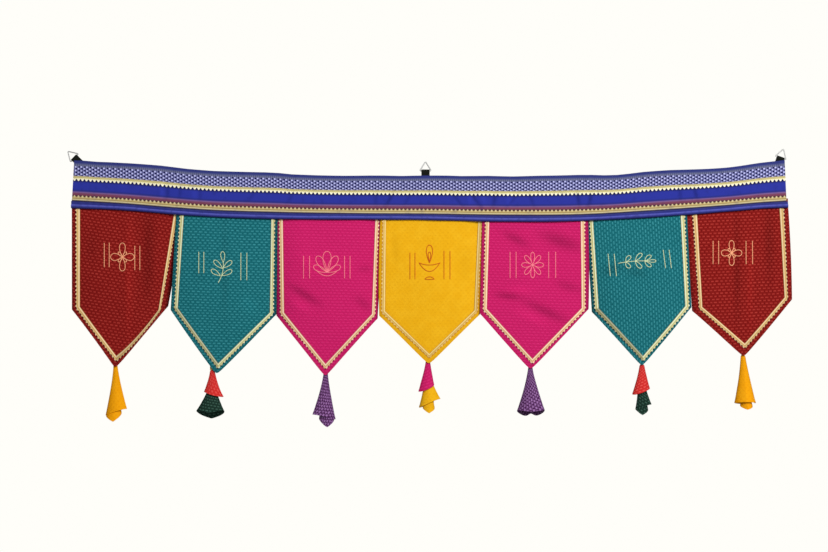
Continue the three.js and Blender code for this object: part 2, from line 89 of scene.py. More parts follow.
# Round threads: each path is a row of points, with rings of an even number of sides square to it, whose
# first side faces the front, and with capped ends unless the path is closed
def threadTubes(paths, radii, sides, closed=False, front=(0, -1, 0)):
    count, rings = paths.shape[:2]
    if closed:
        along = np.roll(paths, -1, axis=1) - np.roll(paths, 1, axis=1)
    else:
        along = np.gradient(paths, axis=1)
    along = along / np.maximum(np.linalg.norm(along, axis=-1, keepdims=True), 1e-9)
    across = np.cross(along, np.asarray(front, float))
    across = across / np.maximum(np.linalg.norm(across, axis=-1, keepdims=True), 1e-9)
    up = np.cross(across, along)
    turn = np.arange(sides) * 2 * math.pi / sides
    ring = across[:, :, None] * np.sin(turn)[:, None] + up[:, :, None] * np.cos(turn)[:, None]
    vertices = paths[:, :, None] + ring * np.broadcast_to(radii, (count, rings))[:, :, None, None]
    k, j = np.meshgrid(np.arange(rings if closed else rings - 1), np.arange(sides), indexing="ij")
    ahead, beside = (k + 1) % rings, (j + 1) % sides
    quads = np.stack([k * sides + j, k * sides + beside, ahead * sides + beside, ahead * sides + j], -1)
    quads = quads.reshape(-1, 4)
    if not closed:
        step = np.arange(0, sides - 2, 2)
        cap = np.stack([np.zeros_like(step), step + 1, step + 2, step + 3], -1)
        quads = np.concatenate([quads, cap[:, ::-1], cap + (rings - 1) * sides])
    starts = np.arange(count)[:, None, None] * rings * sides
    shares = np.broadcast_to(np.linspace(0, 1, rings)[None, :, None], (count, rings, sides))
    uv = np.stack([shares, np.broadcast_to(np.arange(sides) / sides, shares.shape)], -1)
    return vertices.reshape(-1, 3), [(quads[None] + starts).reshape(-1, 4)], uv.reshape(-1, 2)


# Several shapes as one: their vertices in a row, with the face numbers moved along
def joined(*shapes):
    starts = np.cumsum([0] + [len(shape[0]) for shape in shapes[:-1]])
    faces = [face + start for shape, start in zip(shapes, starts) for face in shape[1]]
    vertices, uv = (np.concatenate([shape[k] for shape in shapes]) for k in (0, 2))
    return vertices, faces, uv


# Points at even distances along a line of points
def evenly(line, count):
    steps = np.linalg.norm(np.diff(line, axis=0), axis=1)
    reach = np.concatenate([[0], np.cumsum(steps)])
    places = np.linspace(0, reach[-1], count)
    return np.stack([np.interp(places, reach, line[:, k]) for k in range(line.shape[1])], -1)


# One piece of the toran from a shape in millimetres, whose faces are arrays of triangles or quads. Its
# painted shade is the share by which its colour is darkened at each vertex to stand in for shade, or
# lightened as painted light where it is negative.
def putPiece(name, shape, material, slot, *replaced, sharp=50, shade=None):
    vertices, faces, uv = shape
    mesh = bpy.data.meshes.new(name)
    corners = np.concatenate([face.ravel() for face in faces]).astype(np.int32)
    sizes = np.concatenate([np.full(len(face), face.shape[1]) for face in faces])
    mesh.vertices.add(len(vertices))
    mesh.vertices.foreach_set("co", (vertices * mm).astype(np.float32).ravel())
    mesh.loops.add(len(corners))
    mesh.loops.foreach_set("vertex_index", corners)
    mesh.polygons.add(len(sizes))
    mesh.polygons.foreach_set("loop_start", np.concatenate([[0], np.cumsum(sizes)[:-1]]).astype(np.int32))
    mesh.polygons.foreach_set("use_smooth", np.ones(len(sizes), bool))
    mesh.update(calc_edges=True)
    mesh.uv_layers.new(name="cloth").uv.foreach_set("vector", (uv[corners] * mm).astype(np.float32).ravel())
    mesh.set_sharp_from_angle(angle=math.radians(sharp))
    if shade is not None:
        mesh.attributes.new("shade", "FLOAT", "POINT").data.foreach_set("value", shade.astype(np.float32))
    mesh.materials.append(material)
    piece = bpy.data.objects.new(name, mesh)
    bpy.context.scene.collection.objects.link(piece)
    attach(piece, "root")
    if replaced:
        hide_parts(*replaced)
    return piece


# Material helpers

# A colour given as red, green and blue from 0 to 255, as linear light
def colour(red, green, blue):
    part = np.array([red, green, blue]) / 255
    return (*np.where(part < 0.04045, part / 12.92, ((part + 0.055) / 1.055) ** 2.4).tolist(), 1.0)


# Puts a number, a colour or a Field on a shader socket
def plug(tree, socket, value):
    if isinstance(value, Field):
        tree.links.new(value.socket, socket)
    else:
        socket.default_value = value


# A value in a shader that plain arithmetic can be done on: each step is one Math node
class Field:
    def __init__(self, tree, socket):
        self.tree = tree
        self.socket = socket

    def step(self, operation, *others):
        node = self.tree.nodes.new("ShaderNodeMath")
        node.operation = operation
        for socket, value in zip(node.inputs, (self, *others)):
            plug(self.tree, socket, value)
        return Field(self.tree, node.outputs[0])

    def __add__(self, other):
        return self.step("ADD", other)

    def __sub__(self, other):
        return self.step("SUBTRACT", other)

    def __mul__(self, other):
        return self.step("MULTIPLY", other)

    def __truediv__(self, other):
        return self.step("DIVIDE", other)

    # Distance from 0
    def size(self):
        return self.step("ABSOLUTE")

    # Sine with the given wave length
    def wave(self, length):
        return (self * (2 * math.pi / length)).step("SINE")

    # Place within a repeat, from -0.5 to 0.5 with 0 in its middle
    def repeat(self, pitch):
        return (self / pitch).step("FRACT") - 0.5

    # 0 on even repeats and 1 on odd ones
    def odd(self, pitch):
        return ((self / pitch).step("FLOOR") / 2).step("FRACT") * 2

    # Eases from 0 at low to 1 at high, where low may be the larger
    def ease(self, low, high):
        node = self.tree.nodes.new("ShaderNodeMapRange")
        node.interpolation_type = "SMOOTHSTEP"
        plug(self.tree, node.inputs["Value"], self)
        node.inputs["From Min"].default_value = min(low, high)
        node.inputs["From Max"].default_value = max(low, high)
        node.inputs["To Min"].default_value = 0 if low < high else 1
        node.inputs["To Max"].default_value = 1 if low < high else 0
        return Field(self.tree, node.outputs["Result"])

    # 1 between low and high, with soft edges
    def within(self, low, high, soft):
        return self.ease(low - soft / 2, low + soft / 2) * self.ease(high + soft / 2, high - soft / 2)


# Colours mixed by a share from 0 to 1
def mixed(share, first, second):
    node = share.tree.nodes.new("ShaderNodeMix")
    node.data_type = "RGBA"
    plug(share.tree, node.inputs[0], share)
    plug(share.tree, node.inputs[6], first)
    plug(share.tree, node.inputs[7], second)
    return Field(share.tree, node.outputs[2])


# A new material with the piece's own cloth coordinates, in millimetres
def clothMaterial(name):
    material = bpy.data.materials.new(name)
    material.use_nodes = True
    tree = material.node_tree
    place = tree.nodes.new("ShaderNodeUVMap")
    place.uv_map = "cloth"
    split = tree.nodes.new("ShaderNodeSeparateXYZ")
    tree.links.new(place.outputs["UV"], split.inputs[0])
    return material, Field(tree, split.outputs["X"]) / mm, Field(tree, split.outputs["Y"]) / mm


# Soft noise over the piece, from 0 to 1, with spots of about the given size
def mottle(material, spot, detail=2):
    tree = material.node_tree
    place = tree.nodes.new("ShaderNodeTexCoord")
    node = tree.nodes.new("ShaderNodeTexNoise")
    tree.links.new(place.outputs["Object"], node.inputs["Vector"])
    node.inputs["Scale"].default_value = 1 / (spot * mm)
    node.inputs["Detail"].default_value = detail
    return Field(tree, node.outputs["Fac"])


# The surface: colour, roughness and relief, the last as a height of 0 to 1 on a depth in millimetres
def finish(material, tint, roughness, relief, depth, **values):
    tree = material.node_tree
    shader = tree.nodes["Principled BSDF"]
    plug(tree, shader.inputs["Base Color"], tint)
    plug(tree, shader.inputs["Roughness"], roughness)
    for socket, value in values.items():
        shader.inputs[socket.replace("_", " ")].default_value = value
    bump = tree.nodes.new("ShaderNodeBump")
    bump.inputs["Distance"].default_value = depth * mm
    plug(tree, bump.inputs["Height"], relief)
    tree.links.new(bump.outputs["Normal"], shader.inputs["Normal"])
    return material


# Colours along a value, each stop given as its place and its red, green and blue
def ramp(value, stops):
    node = value.tree.nodes.new("ShaderNodeValToRGB")
    first, last = stops[0][0], stops[-1][0]
    elements = node.color_ramp.elements
    elements[0].color, elements[1].color = colour(*stops[0][1:]), colour(*stops[-1][1:])
    for place, *tint in stops[1:-1]:
        elements.new((place - first) / (last - first)).color = colour(*tint)
    plug(value.tree, node.inputs["Fac"], (value - first) / (last - first))
    return Field(value.tree, node.outputs["Color"])


# The piece's own share of painted shade, which is 0 on pieces that have none
def shadeShare(material):
    node = material.node_tree.nodes.new("ShaderNodeAttribute")
    node.attribute_name = "shade"
    return Field(material.node_tree, node.outputs["Fac"])


# A colour made darker by a share of itself as painted shade, or lighter as painted light where the share
# is negative
def dimmed(tint, share):
    node = tint.tree.nodes.new("ShaderNodeVectorMath")
    node.operation = "SCALE"
    plug(tint.tree, node.inputs["Vector"], tint)
    plug(tint.tree, node.inputs["Scale"], share * -1 + 1)
    return Field(tint.tree, node.outputs["Vector"])


matt = {"Specular_IOR_Level": 0.06}


# Cloth with staggered dashes: rows of lighter dashes, each row half a pitch along, with dark gaps between
# their ends and a dark line between rows, over a fine ripple of threads
def dashedCloth(name, ground, dash, gap, dashes, lines, pitch, rowPitch, wide=(0.3, 0.06)):
    material, along, across = clothMaterial(name)
    worn = mottle(material, 5, 3)
    place = (along + across.odd(rowPitch) * (pitch / 2) + worn * 4).repeat(pitch).size()
    rise = (across + mottle(material, 23) * 1.6).repeat(rowPitch).size()
    raised = place.ease(0.38, 0.18) * rise.ease(*wide)
    hole = place.ease(0.36, 0.5) * rise.ease(0.42, 0.15)
    line = rise.ease(0.28, 0.48)
    tint = mixed(raised * dashes * (worn.ease(0.3, 0.7) * 0.6 + 0.7), colour(*ground), colour(*dash))
    tint = mixed((hole * dashes + line * lines).step("MINIMUM", 1), tint, colour(*gap))
    thread = along.wave(0.75) * across.wave(0.6)
    tint = mixed(thread.size() * 0.15, tint, colour(*gap))
    # Painted shade: the cloth darkened where its vertices carry painted shade, lightened where they carry
    # painted light
    tint = dimmed(tint, shadeShare(material))
    return finish(material, tint, 0.85, raised * 0.8 + thread * 0.25 - hole * 0.4, 0.3, **matt)


# Nearly plain cloth with a faint scatter of darker thread ends
def plainCloth(name, ground, light, dark, pitch=6.8, rowPitch=3.7):
    material, along, across = clothMaterial(name)
    slub = mottle(material, 11, 3)
    place = (along + across.odd(rowPitch) * (pitch / 2)).repeat(pitch).size()
    dot = place.ease(0.3, 0.1) * across.repeat(rowPitch).size().ease(0.4, 0.1)
    tint = mixed(slub.ease(0.35, 0.7) * 0.5, colour(*ground), colour(*light))
    tint = mixed(dot * 0.2, tint, colour(*dark))
    # Painted shade: the cloth darkened where its vertices carry painted shade, lightened where they carry
    # painted light
    tint = dimmed(tint, shadeShare(material))
    thread = along.wave(0.72) * across.wave(0.6)
    return finish(material, tint, 0.85, thread * 0.3 + dot * 0.4, 0.22, **matt)


# The woven border, read from its turned top edge at 0 down to its seam at 54: a plain edge, a grey fade,
# the ground of the lattice, a gold stripe, plain satin, a mauve line, a maroon stripe, gold and a pale line
borderStops = [
    (0, 44, 51, 110), (3, 47, 54, 118), (4.6, 84, 90, 134), (6.2, 114, 118, 140), (7.4, 104, 106, 146),
    (9, 100, 101, 152), (19, 100, 101, 152), (20.4, 118, 112, 140), (21.2, 182, 168, 118),
    (22, 216, 204, 142), (22.7, 178, 166, 104), (23.5, 228, 218, 156), (24.6, 242, 234, 186),
    (25.1, 30, 28, 74), (27.2, 24, 24, 76), (28.4, 40, 46, 124), (30, 42, 50, 150), (38.4, 42, 50, 148),
    (40, 38, 44, 122), (41.2, 62, 58, 128), (42.3, 128, 92, 140), (43.2, 116, 76, 108),
    (44.2, 118, 62, 86), (46, 114, 58, 80), (46.6, 78, 44, 56), (48.2, 76, 52, 48),
    (48.8, 172, 148, 92), (49.8, 188, 166, 104), (50.9, 140, 119, 74), (52, 220, 206, 156),
    (53, 150, 137, 112), (53.8, 38, 38, 82)]
border = {"comb": (4.4, 7.6), "combPitch": 2.55, "lattice": (7.4, 20.6), "dotPitch": 7.66,
          "dotRows": 2.4, "teeth": (24.6, 27.3), "lowerTeeth": (48.9, 46.5), "toothPitch": 5.4,
          "gold": (21, 25), "lowerGold": (48.8, 53), "seam": 54}


def borderCloth(name):
    material, along, down = clothMaterial(name)
    tint = ramp(down, borderStops)
    comb = down.within(*border["comb"], 0.8) * along.wave(border["combPitch"]).ease(-0.2, 0.7)
    tint = mixed(comb * 0.6, tint, colour(38, 40, 92))
    # A dark spot with a pale dot to its right in each repeat of a row, and each row half a repeat along
    rows = down - border["lattice"][0]
    place = (along + rows.odd(border["dotRows"]) * (border["dotPitch"] / 2)).repeat(border["dotPitch"])
    rise = rows.repeat(border["dotRows"]).size()
    inLattice = down.within(*border["lattice"], 0.8)
    dot = inLattice * place.size().ease(0.19, 0.08) * rise.ease(0.6, 0.28)
    spot = inLattice * (place + 0.345).size().ease(0.19, 0.1) * rise.ease(0.66, 0.34)
    tint = mixed(spot, tint, colour(6, 8, 66))
    tint = mixed(dot, tint, colour(192, 194, 242))
    # Rounded teeth: half an ellipse about each repeat, from a stripe's edge outwards
    tooth = along.repeat(border["toothPitch"])
    shares = []
    for key, width, tone in (("teeth", 0.32, (250, 244, 214)), ("lowerTeeth", 0.27, (206, 188, 142))):
        base, point = border[key]
        reach = (down - base) / (point - base)
        outline = (tooth / width) * (tooth / width) + reach * reach
        share = outline.ease(1.2, 0.7) * reach.ease(-0.3, -0.05)
        tint = mixed(share, tint, colour(*tone))
        shares.append(share)
    goldShare = (shares[0] + shares[1] + down.within(*border["gold"], 0.6)
                 + down.within(*border["lowerGold"], 0.6)).step("MINIMUM", 1)
    weave = (along + down * 0.8).wave(2.7) * down.within(*border["gold"], 0.6)
    tint = mixed(weave.ease(0.2, 0.9) * 0.4, tint, colour(140, 128, 92))
    tint = mixed(mottle(material, 9, 3).ease(0.52, 0.75) * 0.25, tint, colour(30, 34, 96))
    # Painted shade: the border darkened along its wrinkles' troughs and lightened along their ridges as
    # painted light
    tint = dimmed(tint, shadeShare(material))
    thread = along.wave(0.8) * 0.3 + down.wave(0.55) * 0.2
    relief = goldShare + dot * 1.2 + thread * 0.4
    return finish(material, tint, goldShare * -0.15 + 0.7, relief, 0.3, **matt)


# Satin, read from its seam at 0 to its lower edge at 9: painted shade below the seam, a painted sheen
# highlight along the roll, painted shade at its lower edge, and fine pulls
def pipingSatin(name):
    material, along, across = clothMaterial(name)
    pull = mottle(material, 5, 3)
    # Painted light: dark up to 3.6 and towards 9 as painted shade, and the light stops from 4.9 to 6.3 as a
    # painted highlight
    tint = ramp(across, [(0, 33, 37, 100), (3.6, 37, 43, 127), (4.9, 58, 64, 148), (5.6, 86, 90, 176),
                         (6.3, 60, 65, 150), (7.4, 40, 44, 118), (9, 24, 24, 80)])
    tint = mixed(pull.ease(0.48, 0.75) * 0.5, tint, colour(34, 38, 104))
    relief = along.wave(0.9) * 0.12 + pull
    return finish(material, tint, 0.5, relief, 0.35, Specular_IOR_Level=0.15)


# Lace, read across from its inner edge at 0: a painted shadow along that edge, then a bright cord and a
# duller woven stripe up to 10, whose light bands over the two ridges are partly the gold's own colour and
# partly painted highlight; then the ground that its picots stand on, up to 15, painted in the cloth's colour
# darkened as the painted shadow between the picots, and beyond that the picots
laceStops = [(0, 140, 98, 44), (0.8, 226, 186, 104), (2, 255, 240, 182), (4, 255, 238, 172),
             (5.4, 228, 196, 110), (7.4, 208, 174, 90), (8.6, 240, 214, 134), (10, 244, 220, 148)]


# ground is the cloth's colour darkened, shown between the picots as painted shadow
def goldLace(name, ground, cast):
    def gold(*tone):  # a tone of gold with the cloth's cast
        return [min(part * share, 255) for part, share in zip(tone, cast)]

    material, along, across = clothMaterial(name)
    twist = (along + across * 0.5).wave(1.3) * 0.5 + 0.5
    tint = ramp(across, [(place, *gold(*tone)) for place, *tone in laceStops])
    tint = mixed(twist * (mottle(material, 4) * 0.5), tint, colour(*gold(176, 142, 78)))
    # Painted shadow: from 10.2 outwards the gold gives way to the darkened cloth colour between the picots
    tint = mixed(across.ease(10.2, 10.8), tint, colour(*ground))
    spots = mottle(material, 5).ease(0.35, 0.65)
    picots = mixed(spots, colour(*gold(212, 176, 106)), colour(*gold(252, 230, 170)))
    # Painted shade: the lace, picots included, darkened where its vertices carry painted shade
    tint = dimmed(mixed(across.ease(15, 16), tint, picots), shadeShare(material))
    return finish(material, tint, 0.6, twist * 0.4, 0.2, Specular_IOR_Level=0.15)


# Thread: two shades twisted along each stitch
def stitchThread(name, light, dark):
    material, along, around = clothMaterial(name)
    twist = (along * 4 + around).wave(1) * 0.5 + 0.5
    tint = mixed(twist * 0.6, colour(*light), colour(*dark))
    return finish(material, tint, 0.6, twist, 0.12, Specular_IOR_Level=0.15)


# Ribbon with fine ribs across it
def ribbedRibbon(name):
    material, along = clothMaterial(name)[:2]
    rib = along.wave(0.9) * 0.5 + 0.5
    tint = mixed(rib * 0.5 + mottle(material, 3) * 0.3, colour(12, 14, 10), colour(30, 33, 26))
    return finish(material, tint, 0.8, rib, 0.15, Specular_IOR_Level=0.1)


# Bright wire with faint drawing marks
def brightWire(name):
    material = clothMaterial(name)[0]
    marks = mottle(material, 0.8, 3)
    tint = mixed(marks, colour(158, 158, 156), colour(190, 190, 188))
    return finish(material, tint, marks * 0.15 + 0.35, marks, 0.02, Metallic=0.3)


# Dashed cloths: how strongly the dashes and the lines between rows show, the pitch of dashes and of rows,
# and, where it isn't the usual one, the part of a row that a dash takes up
dashedRows = {
    "red": {"ground": (138, 25, 22), "dash": (178, 60, 52), "gap": (92, 5, 6), "dashes": 0.8,
            "lines": 0.4, "pitch": 6, "rowPitch": 4.05},
    "teal": {"ground": (26, 108, 116), "dash": (66, 152, 160), "gap": (4, 74, 82), "dashes": 0.75,
             "lines": 0.32, "pitch": 6.6, "rowPitch": 3.63},
    "magenta": {"ground": (206, 32, 103), "dash": (232, 66, 136), "gap": (164, 14, 74), "dashes": 0.25,
                "lines": 0.4, "pitch": 6, "rowPitch": 3.9},
    "scarlet": {"ground": (214, 52, 48), "dash": (240, 108, 100), "gap": (170, 22, 24), "dashes": 0.55,
                "lines": 0.35, "pitch": 5.4, "rowPitch": 3.4},
    "green": {"ground": (29, 55, 45), "dash": (70, 104, 90), "gap": (10, 24, 18), "dashes": 0.8,
              "lines": 0.4, "pitch": 5.4, "rowPitch": 3.6},
    "purple": {"ground": (92, 46, 98), "dash": (158, 112, 170), "gap": (40, 8, 46), "dashes": 1,
               "lines": 0.6, "pitch": 4.8, "rowPitch": 3.5, "wide": (0.5, 0.25)},
}
cloths = {key: dashedCloth(f"{key}Cloth", **row) for key, row in dashedRows.items()}
cloths["yellow"] = plainCloth("yellowCloth", (233, 172, 20), (240, 184, 32), (208, 140, 8))
cloths["amber"] = plainCloth("amberCloth", (241, 160, 8), (246, 172, 20), (212, 120, 2))
cloths["border"] = borderCloth("borderCloth")
cloths["piping"] = pipingSatin("pipingSatin")
cloths["ribbon"] = ribbedRibbon("blackRibbon")
cloths["wire"] = brightWire("ringWire")
threads = {
    "red": stitchThread("peachThread", (255, 190, 142), (228, 122, 90)),
    "teal": stitchThread("paleGoldThread", (222, 234, 190), (166, 186, 140)),
    "magenta": stitchThread("roseGoldThread", (255, 146, 156), (246, 98, 132)),
    "yellow": stitchThread("amberThread", (210, 100, 26), (182, 74, 14)),
    "tie": stitchThread("tieThread", (236, 200, 120), (190, 146, 70)),
}
# Lace on each cloth, with the painted shadow between the picots in the cloth's colour darkened, and the
# cast it gives the gold
laces = {"red": goldLace("laceOnRed", (84, 8, 8), (0.98, 0.93, 0.99)),
         "teal": goldLace("laceOnTeal", (10, 62, 68), (0.885, 0.985, 1.14)),
         "magenta": goldLace("laceOnMagenta", (136, 12, 64), (0.99, 0.92, 1.1)),
         "yellow": goldLace("laceOnYellow", (204, 140, 28), (0.97, 0.91, 0.8))}
print("materials made:", len(cloths) + len(threads) + len(laces))

# Heading from left to right: x, top edge, seam with the piping, lower edge of the piping, and bow towards
# the back (+Y)
headingRows = np.array([
    (-478, 2.9, -51.5, -61, 0.5),
    (-406, -0.1, -55.9, -63.9, -1.5),
    (-341, -5.7, -61.2, -69.3, -3),
    (-277, -10.9, -65.3, -73.4, -2.2),
    (-180, -15.2, -68, -76, -0.5),
    (-82, -17.2, -69.3, -76.2, 0.8),
    (0, -16.4, -69.8, -76.8, 0),
    (111, -17.9, -71.3, -79.4, -1.8),
    (208, -16.4, -70.7, -78.3, -2.8),
    (305, -11, -65.3, -73.4, -2),
    (402, -6.4, -58.6, -66, -0.8),
    (450, -0.2, -54.6, -61.8, 0),
    (489, 3.8, -52.2, -60.2, 0.5),
])
seamGap = 0.4  # between pieces that are sewn on one another
# The wire ring, whose top has its inside at the origin in the middle one, and the ribbon that it hangs in.
# How far forward the band hangs follows from both
ring = {"side": 15.6, "wire": 0.75, "corner": 1, "apexLean": 18, "points": 120, "sides": 12}
ringHeight = ring["side"] * math.sin(math.pi / 3)
ringInsideApex = ringHeight - ring["corner"] - ring["wire"]
ribbon = {"length": 17, "fold": 4, "thickness": 0.9, "legMiddle": 0.7, "loopMiddle": 1.55,
          "halfDepth": 1.2, "columns": 13, "rows": 70}
band = {"top": (-473, 483.5), "bottom": (-476, 486), "halfDepth": 1, "thickness": 1.6, "columns": 640,
        "rows": 40, "turnAt": 0.035, "turnHalf": 0.03, "turnRise": 0.5, "pucker": 0.18, "puckerFrom": 0.8,
        # Wrinkles of the satin: x in its middle, lean, half width, depth (a ridge where negative) and
        # painted shade (painted light where negative)
        "satin": 0.63, "satinHalf": 0.17,
        "wrinkles": [(-410, -3, 6, -0.8, -0.05), (-356, 0, 3, -1, -0.18), (-348, 0, 3, 1.2, 0.22),
                     (-331, -10, 3, 0.8, 0.15), (-312, 0, 4, -0.6, -0.12), (-304, 0, 3, 0.8, 0.15),
                     (-235, -40, 3, 0.8, 0.16), (-183, -26, 3, 1, 0.18), (-68, 0, 3, 1, 0.18),
                     (-49, -28, 2.8, 1.5, 0.36), (-25, -28, 2.6, 1, 0.17), (42, 42, 2.8, 1.1, 0.22),
                     (59, 6, 4, -1, -0.15), (67, 36, 2.8, 1.3, 0.26), (77, 10, 4, -0.9, -0.13),
                     (92, -10, 2.8, 1.4, 0.3), (111, 0, 4, -0.9, -0.13), (117, -40, 2.6, 1, 0.18),
                     (142, 16, 3, 1.1, 0.2), (205, 6, 2.6, 1.4, 0.34), (221, -10, 2.6, 1.4, 0.34),
                     (342, 6, 2.6, 1.2, 0.24), (363, 10, 2.6, 1.4, 0.32)]}
# Unevenness of the top edge: x and how far it dips
topDips = np.array([
    (-478, 0), (-460, -0.3), (-442, 0.6), (-407, 0.6), (-372, 0.1), (-355, -0.1), (-320, 1.2), (-285, 1),
    (-250, 0.1), (-215, -0.7), (-197, -0.5), (-180, 0.7), (-145, 1), (-110, 0.9), (-75, 0.2), (-57, 0.4),
    (-31, 1.4), (0, 1.1), (30, 0.9), (48, 1.2), (83, 0.3), (118, 0.9), (153, 0.2), (205, 0.3), (223, 1),
    (240, 2.4), (258, 3), (275, 2.3), (293, 1.1), (328, 0.3), (380, 0.8), (433, 0.6), (450, 0.3), (489, 0)])
bandY = (-ringInsideApex * math.sin(math.radians(ring["apexLean"])) - ribbon["halfDepth"] - seamGap
         - band["halfDepth"])


# A column of the heading table at x: a cubic between rows, with slopes taken from the rows either side
def headingAt(x, column):
    places, values = headingRows[:, 0], headingRows[:, column]
    order = np.arange(len(places))
    before, after = np.maximum(order - 1, 0), np.minimum(order + 1, len(places) - 1)
    slopes = (values[after] - values[before]) / (places[after] - places[before])
    k = np.clip(np.searchsorted(places, x, side="right") - 1, 0, len(places) - 2)
    span = places[k + 1] - places[k]
    t = (x - places[k]) / span
    ease = t * t * (3 - 2 * t)
    return (values[k] * (1 - ease) + values[k + 1] * ease
            + span * t * (1 - t) * (slopes[k] * (1 - t) - slopes[k + 1] * t))


# Heights of the band's top edge, with its dips, of its seam and of the piping's lower edge at x, and the y
# of the band's middle there
def topEdge(x):
    return headingAt(x, 1) - np.interp(x, topDips[:, 0], topDips[:, 1])


def seamLine(x):
    return headingAt(x, 2)


def hemLine(x):
    return headingAt(x, 3)


def headingY(x):
    return bandY + headingAt(x, 4)


# The value at a share of the way from first to second
def lerp(first, second, share):
    return first + (second - first) * share


# Shares from 0 to 1 across and down a grid
def shareGrid(columns, rows):
    return np.meshgrid(np.linspace(0, 1, columns), np.linspace(0, 1, rows), indexing="ij")


# The band: straight from its top edge to its seam, with soft wrinkles in its plain satin, darkened along
# their troughs as painted shade and lightened along their ridges as painted light, a turned edge along the
# top and slight puckers at the seam, a sine whose phase wanders
def headingBand():
    u, v = shareGrid(band["columns"], band["rows"])
    x = lerp(lerp(*band["top"], u), lerp(*band["bottom"], u), v)
    z = lerp(topEdge(x), seamLine(x) + seamGap, v)
    y = headingY(x)
    # Painted shade along each wrinkle, by the last column of its row
    shade = np.zeros_like(x)
    for at, lean, half, depth, dark in band["wrinkles"]:
        below = v - band["satin"]
        stroke = np.exp(-((x - at - lean * below) / half) ** 2 - (below / band["satinHalf"]) ** 2)
        y = y + depth * stroke
        shade = shade + dark * stroke
    nearSeam = np.maximum(0, v - band["puckerFrom"]) / (1 - band["puckerFrom"])
    y = y + band["pucker"] * np.sin(x / 2.9 + 2 * np.sin(x / 41)) * nearSeam
    turned = band["turnRise"] * np.exp(-((v - band["turnAt"]) / band["turnHalf"]) ** 2)
    thickness = band["thickness"] * np.sqrt(np.clip(v / 0.02, 0.15, 1)) + turned
    middle = np.stack([x, y, z], -1)
    uv = np.stack([x, v * border["seam"]], -1)
    piece = putPiece("headingBand", thickSheet(middle, thickness, uv), cloths["border"], "border_cloth",
                     "heading_band", shade=np.tile(shade.ravel(), 2))
    return piece


# The piping: a folded satin strip, flat above and rolled along its lower half, its back flush with the
# band's, and drawn into small puckers along its seam and wider ones along its lower edge
piping = {"ends": (-477, 488), "width": 9, "columns": 640, "rows": 22, "flat": 2.0, "roll": 4.2,
          "rollAt": 0.74, "rollHalf": 0.27, "edge": 0.6, "seamPucker": 0.16, "hemPucker": 0.3}


def bandPiping():
    u, v = shareGrid(piping["columns"], piping["rows"])
    x = lerp(*piping["ends"], u)
    z = lerp(seamLine(x), hemLine(x), v)
    across = np.clip((v - piping["rollAt"]) / piping["rollHalf"], -1, 1)
    rolled = piping["roll"] * np.sqrt(1 - across ** 2)
    flat = piping["flat"] * np.clip(v / 0.1, 0.5, 1) * (v < piping["rollAt"])
    thickness = np.maximum(np.maximum(flat, rolled), piping["edge"])
    pucker = (piping["seamPucker"] * np.sin(x / 1.7 + 1.6 * np.sin(x / 17)) * (1 - v)
              + piping["hemPucker"] * np.sin(x / 13 + 2 * np.sin(x / 67)) * v)
    thickness = thickness + pucker * np.clip(thickness / 2, 0, 1)
    y = headingY(x) + band["halfDepth"] - thickness / 2
    middle = np.stack([x, y, z], -1)
    uv = np.stack([x, v * piping["width"]], -1)
    shape = thickSheet(middle, thickness, uv)
    piece = putPiece("bandPiping", shape, cloths["piping"], "satin_piping", "band_piping")
    return piece


headingPieces = [headingBand(), bandPiping()]
print("heading made")
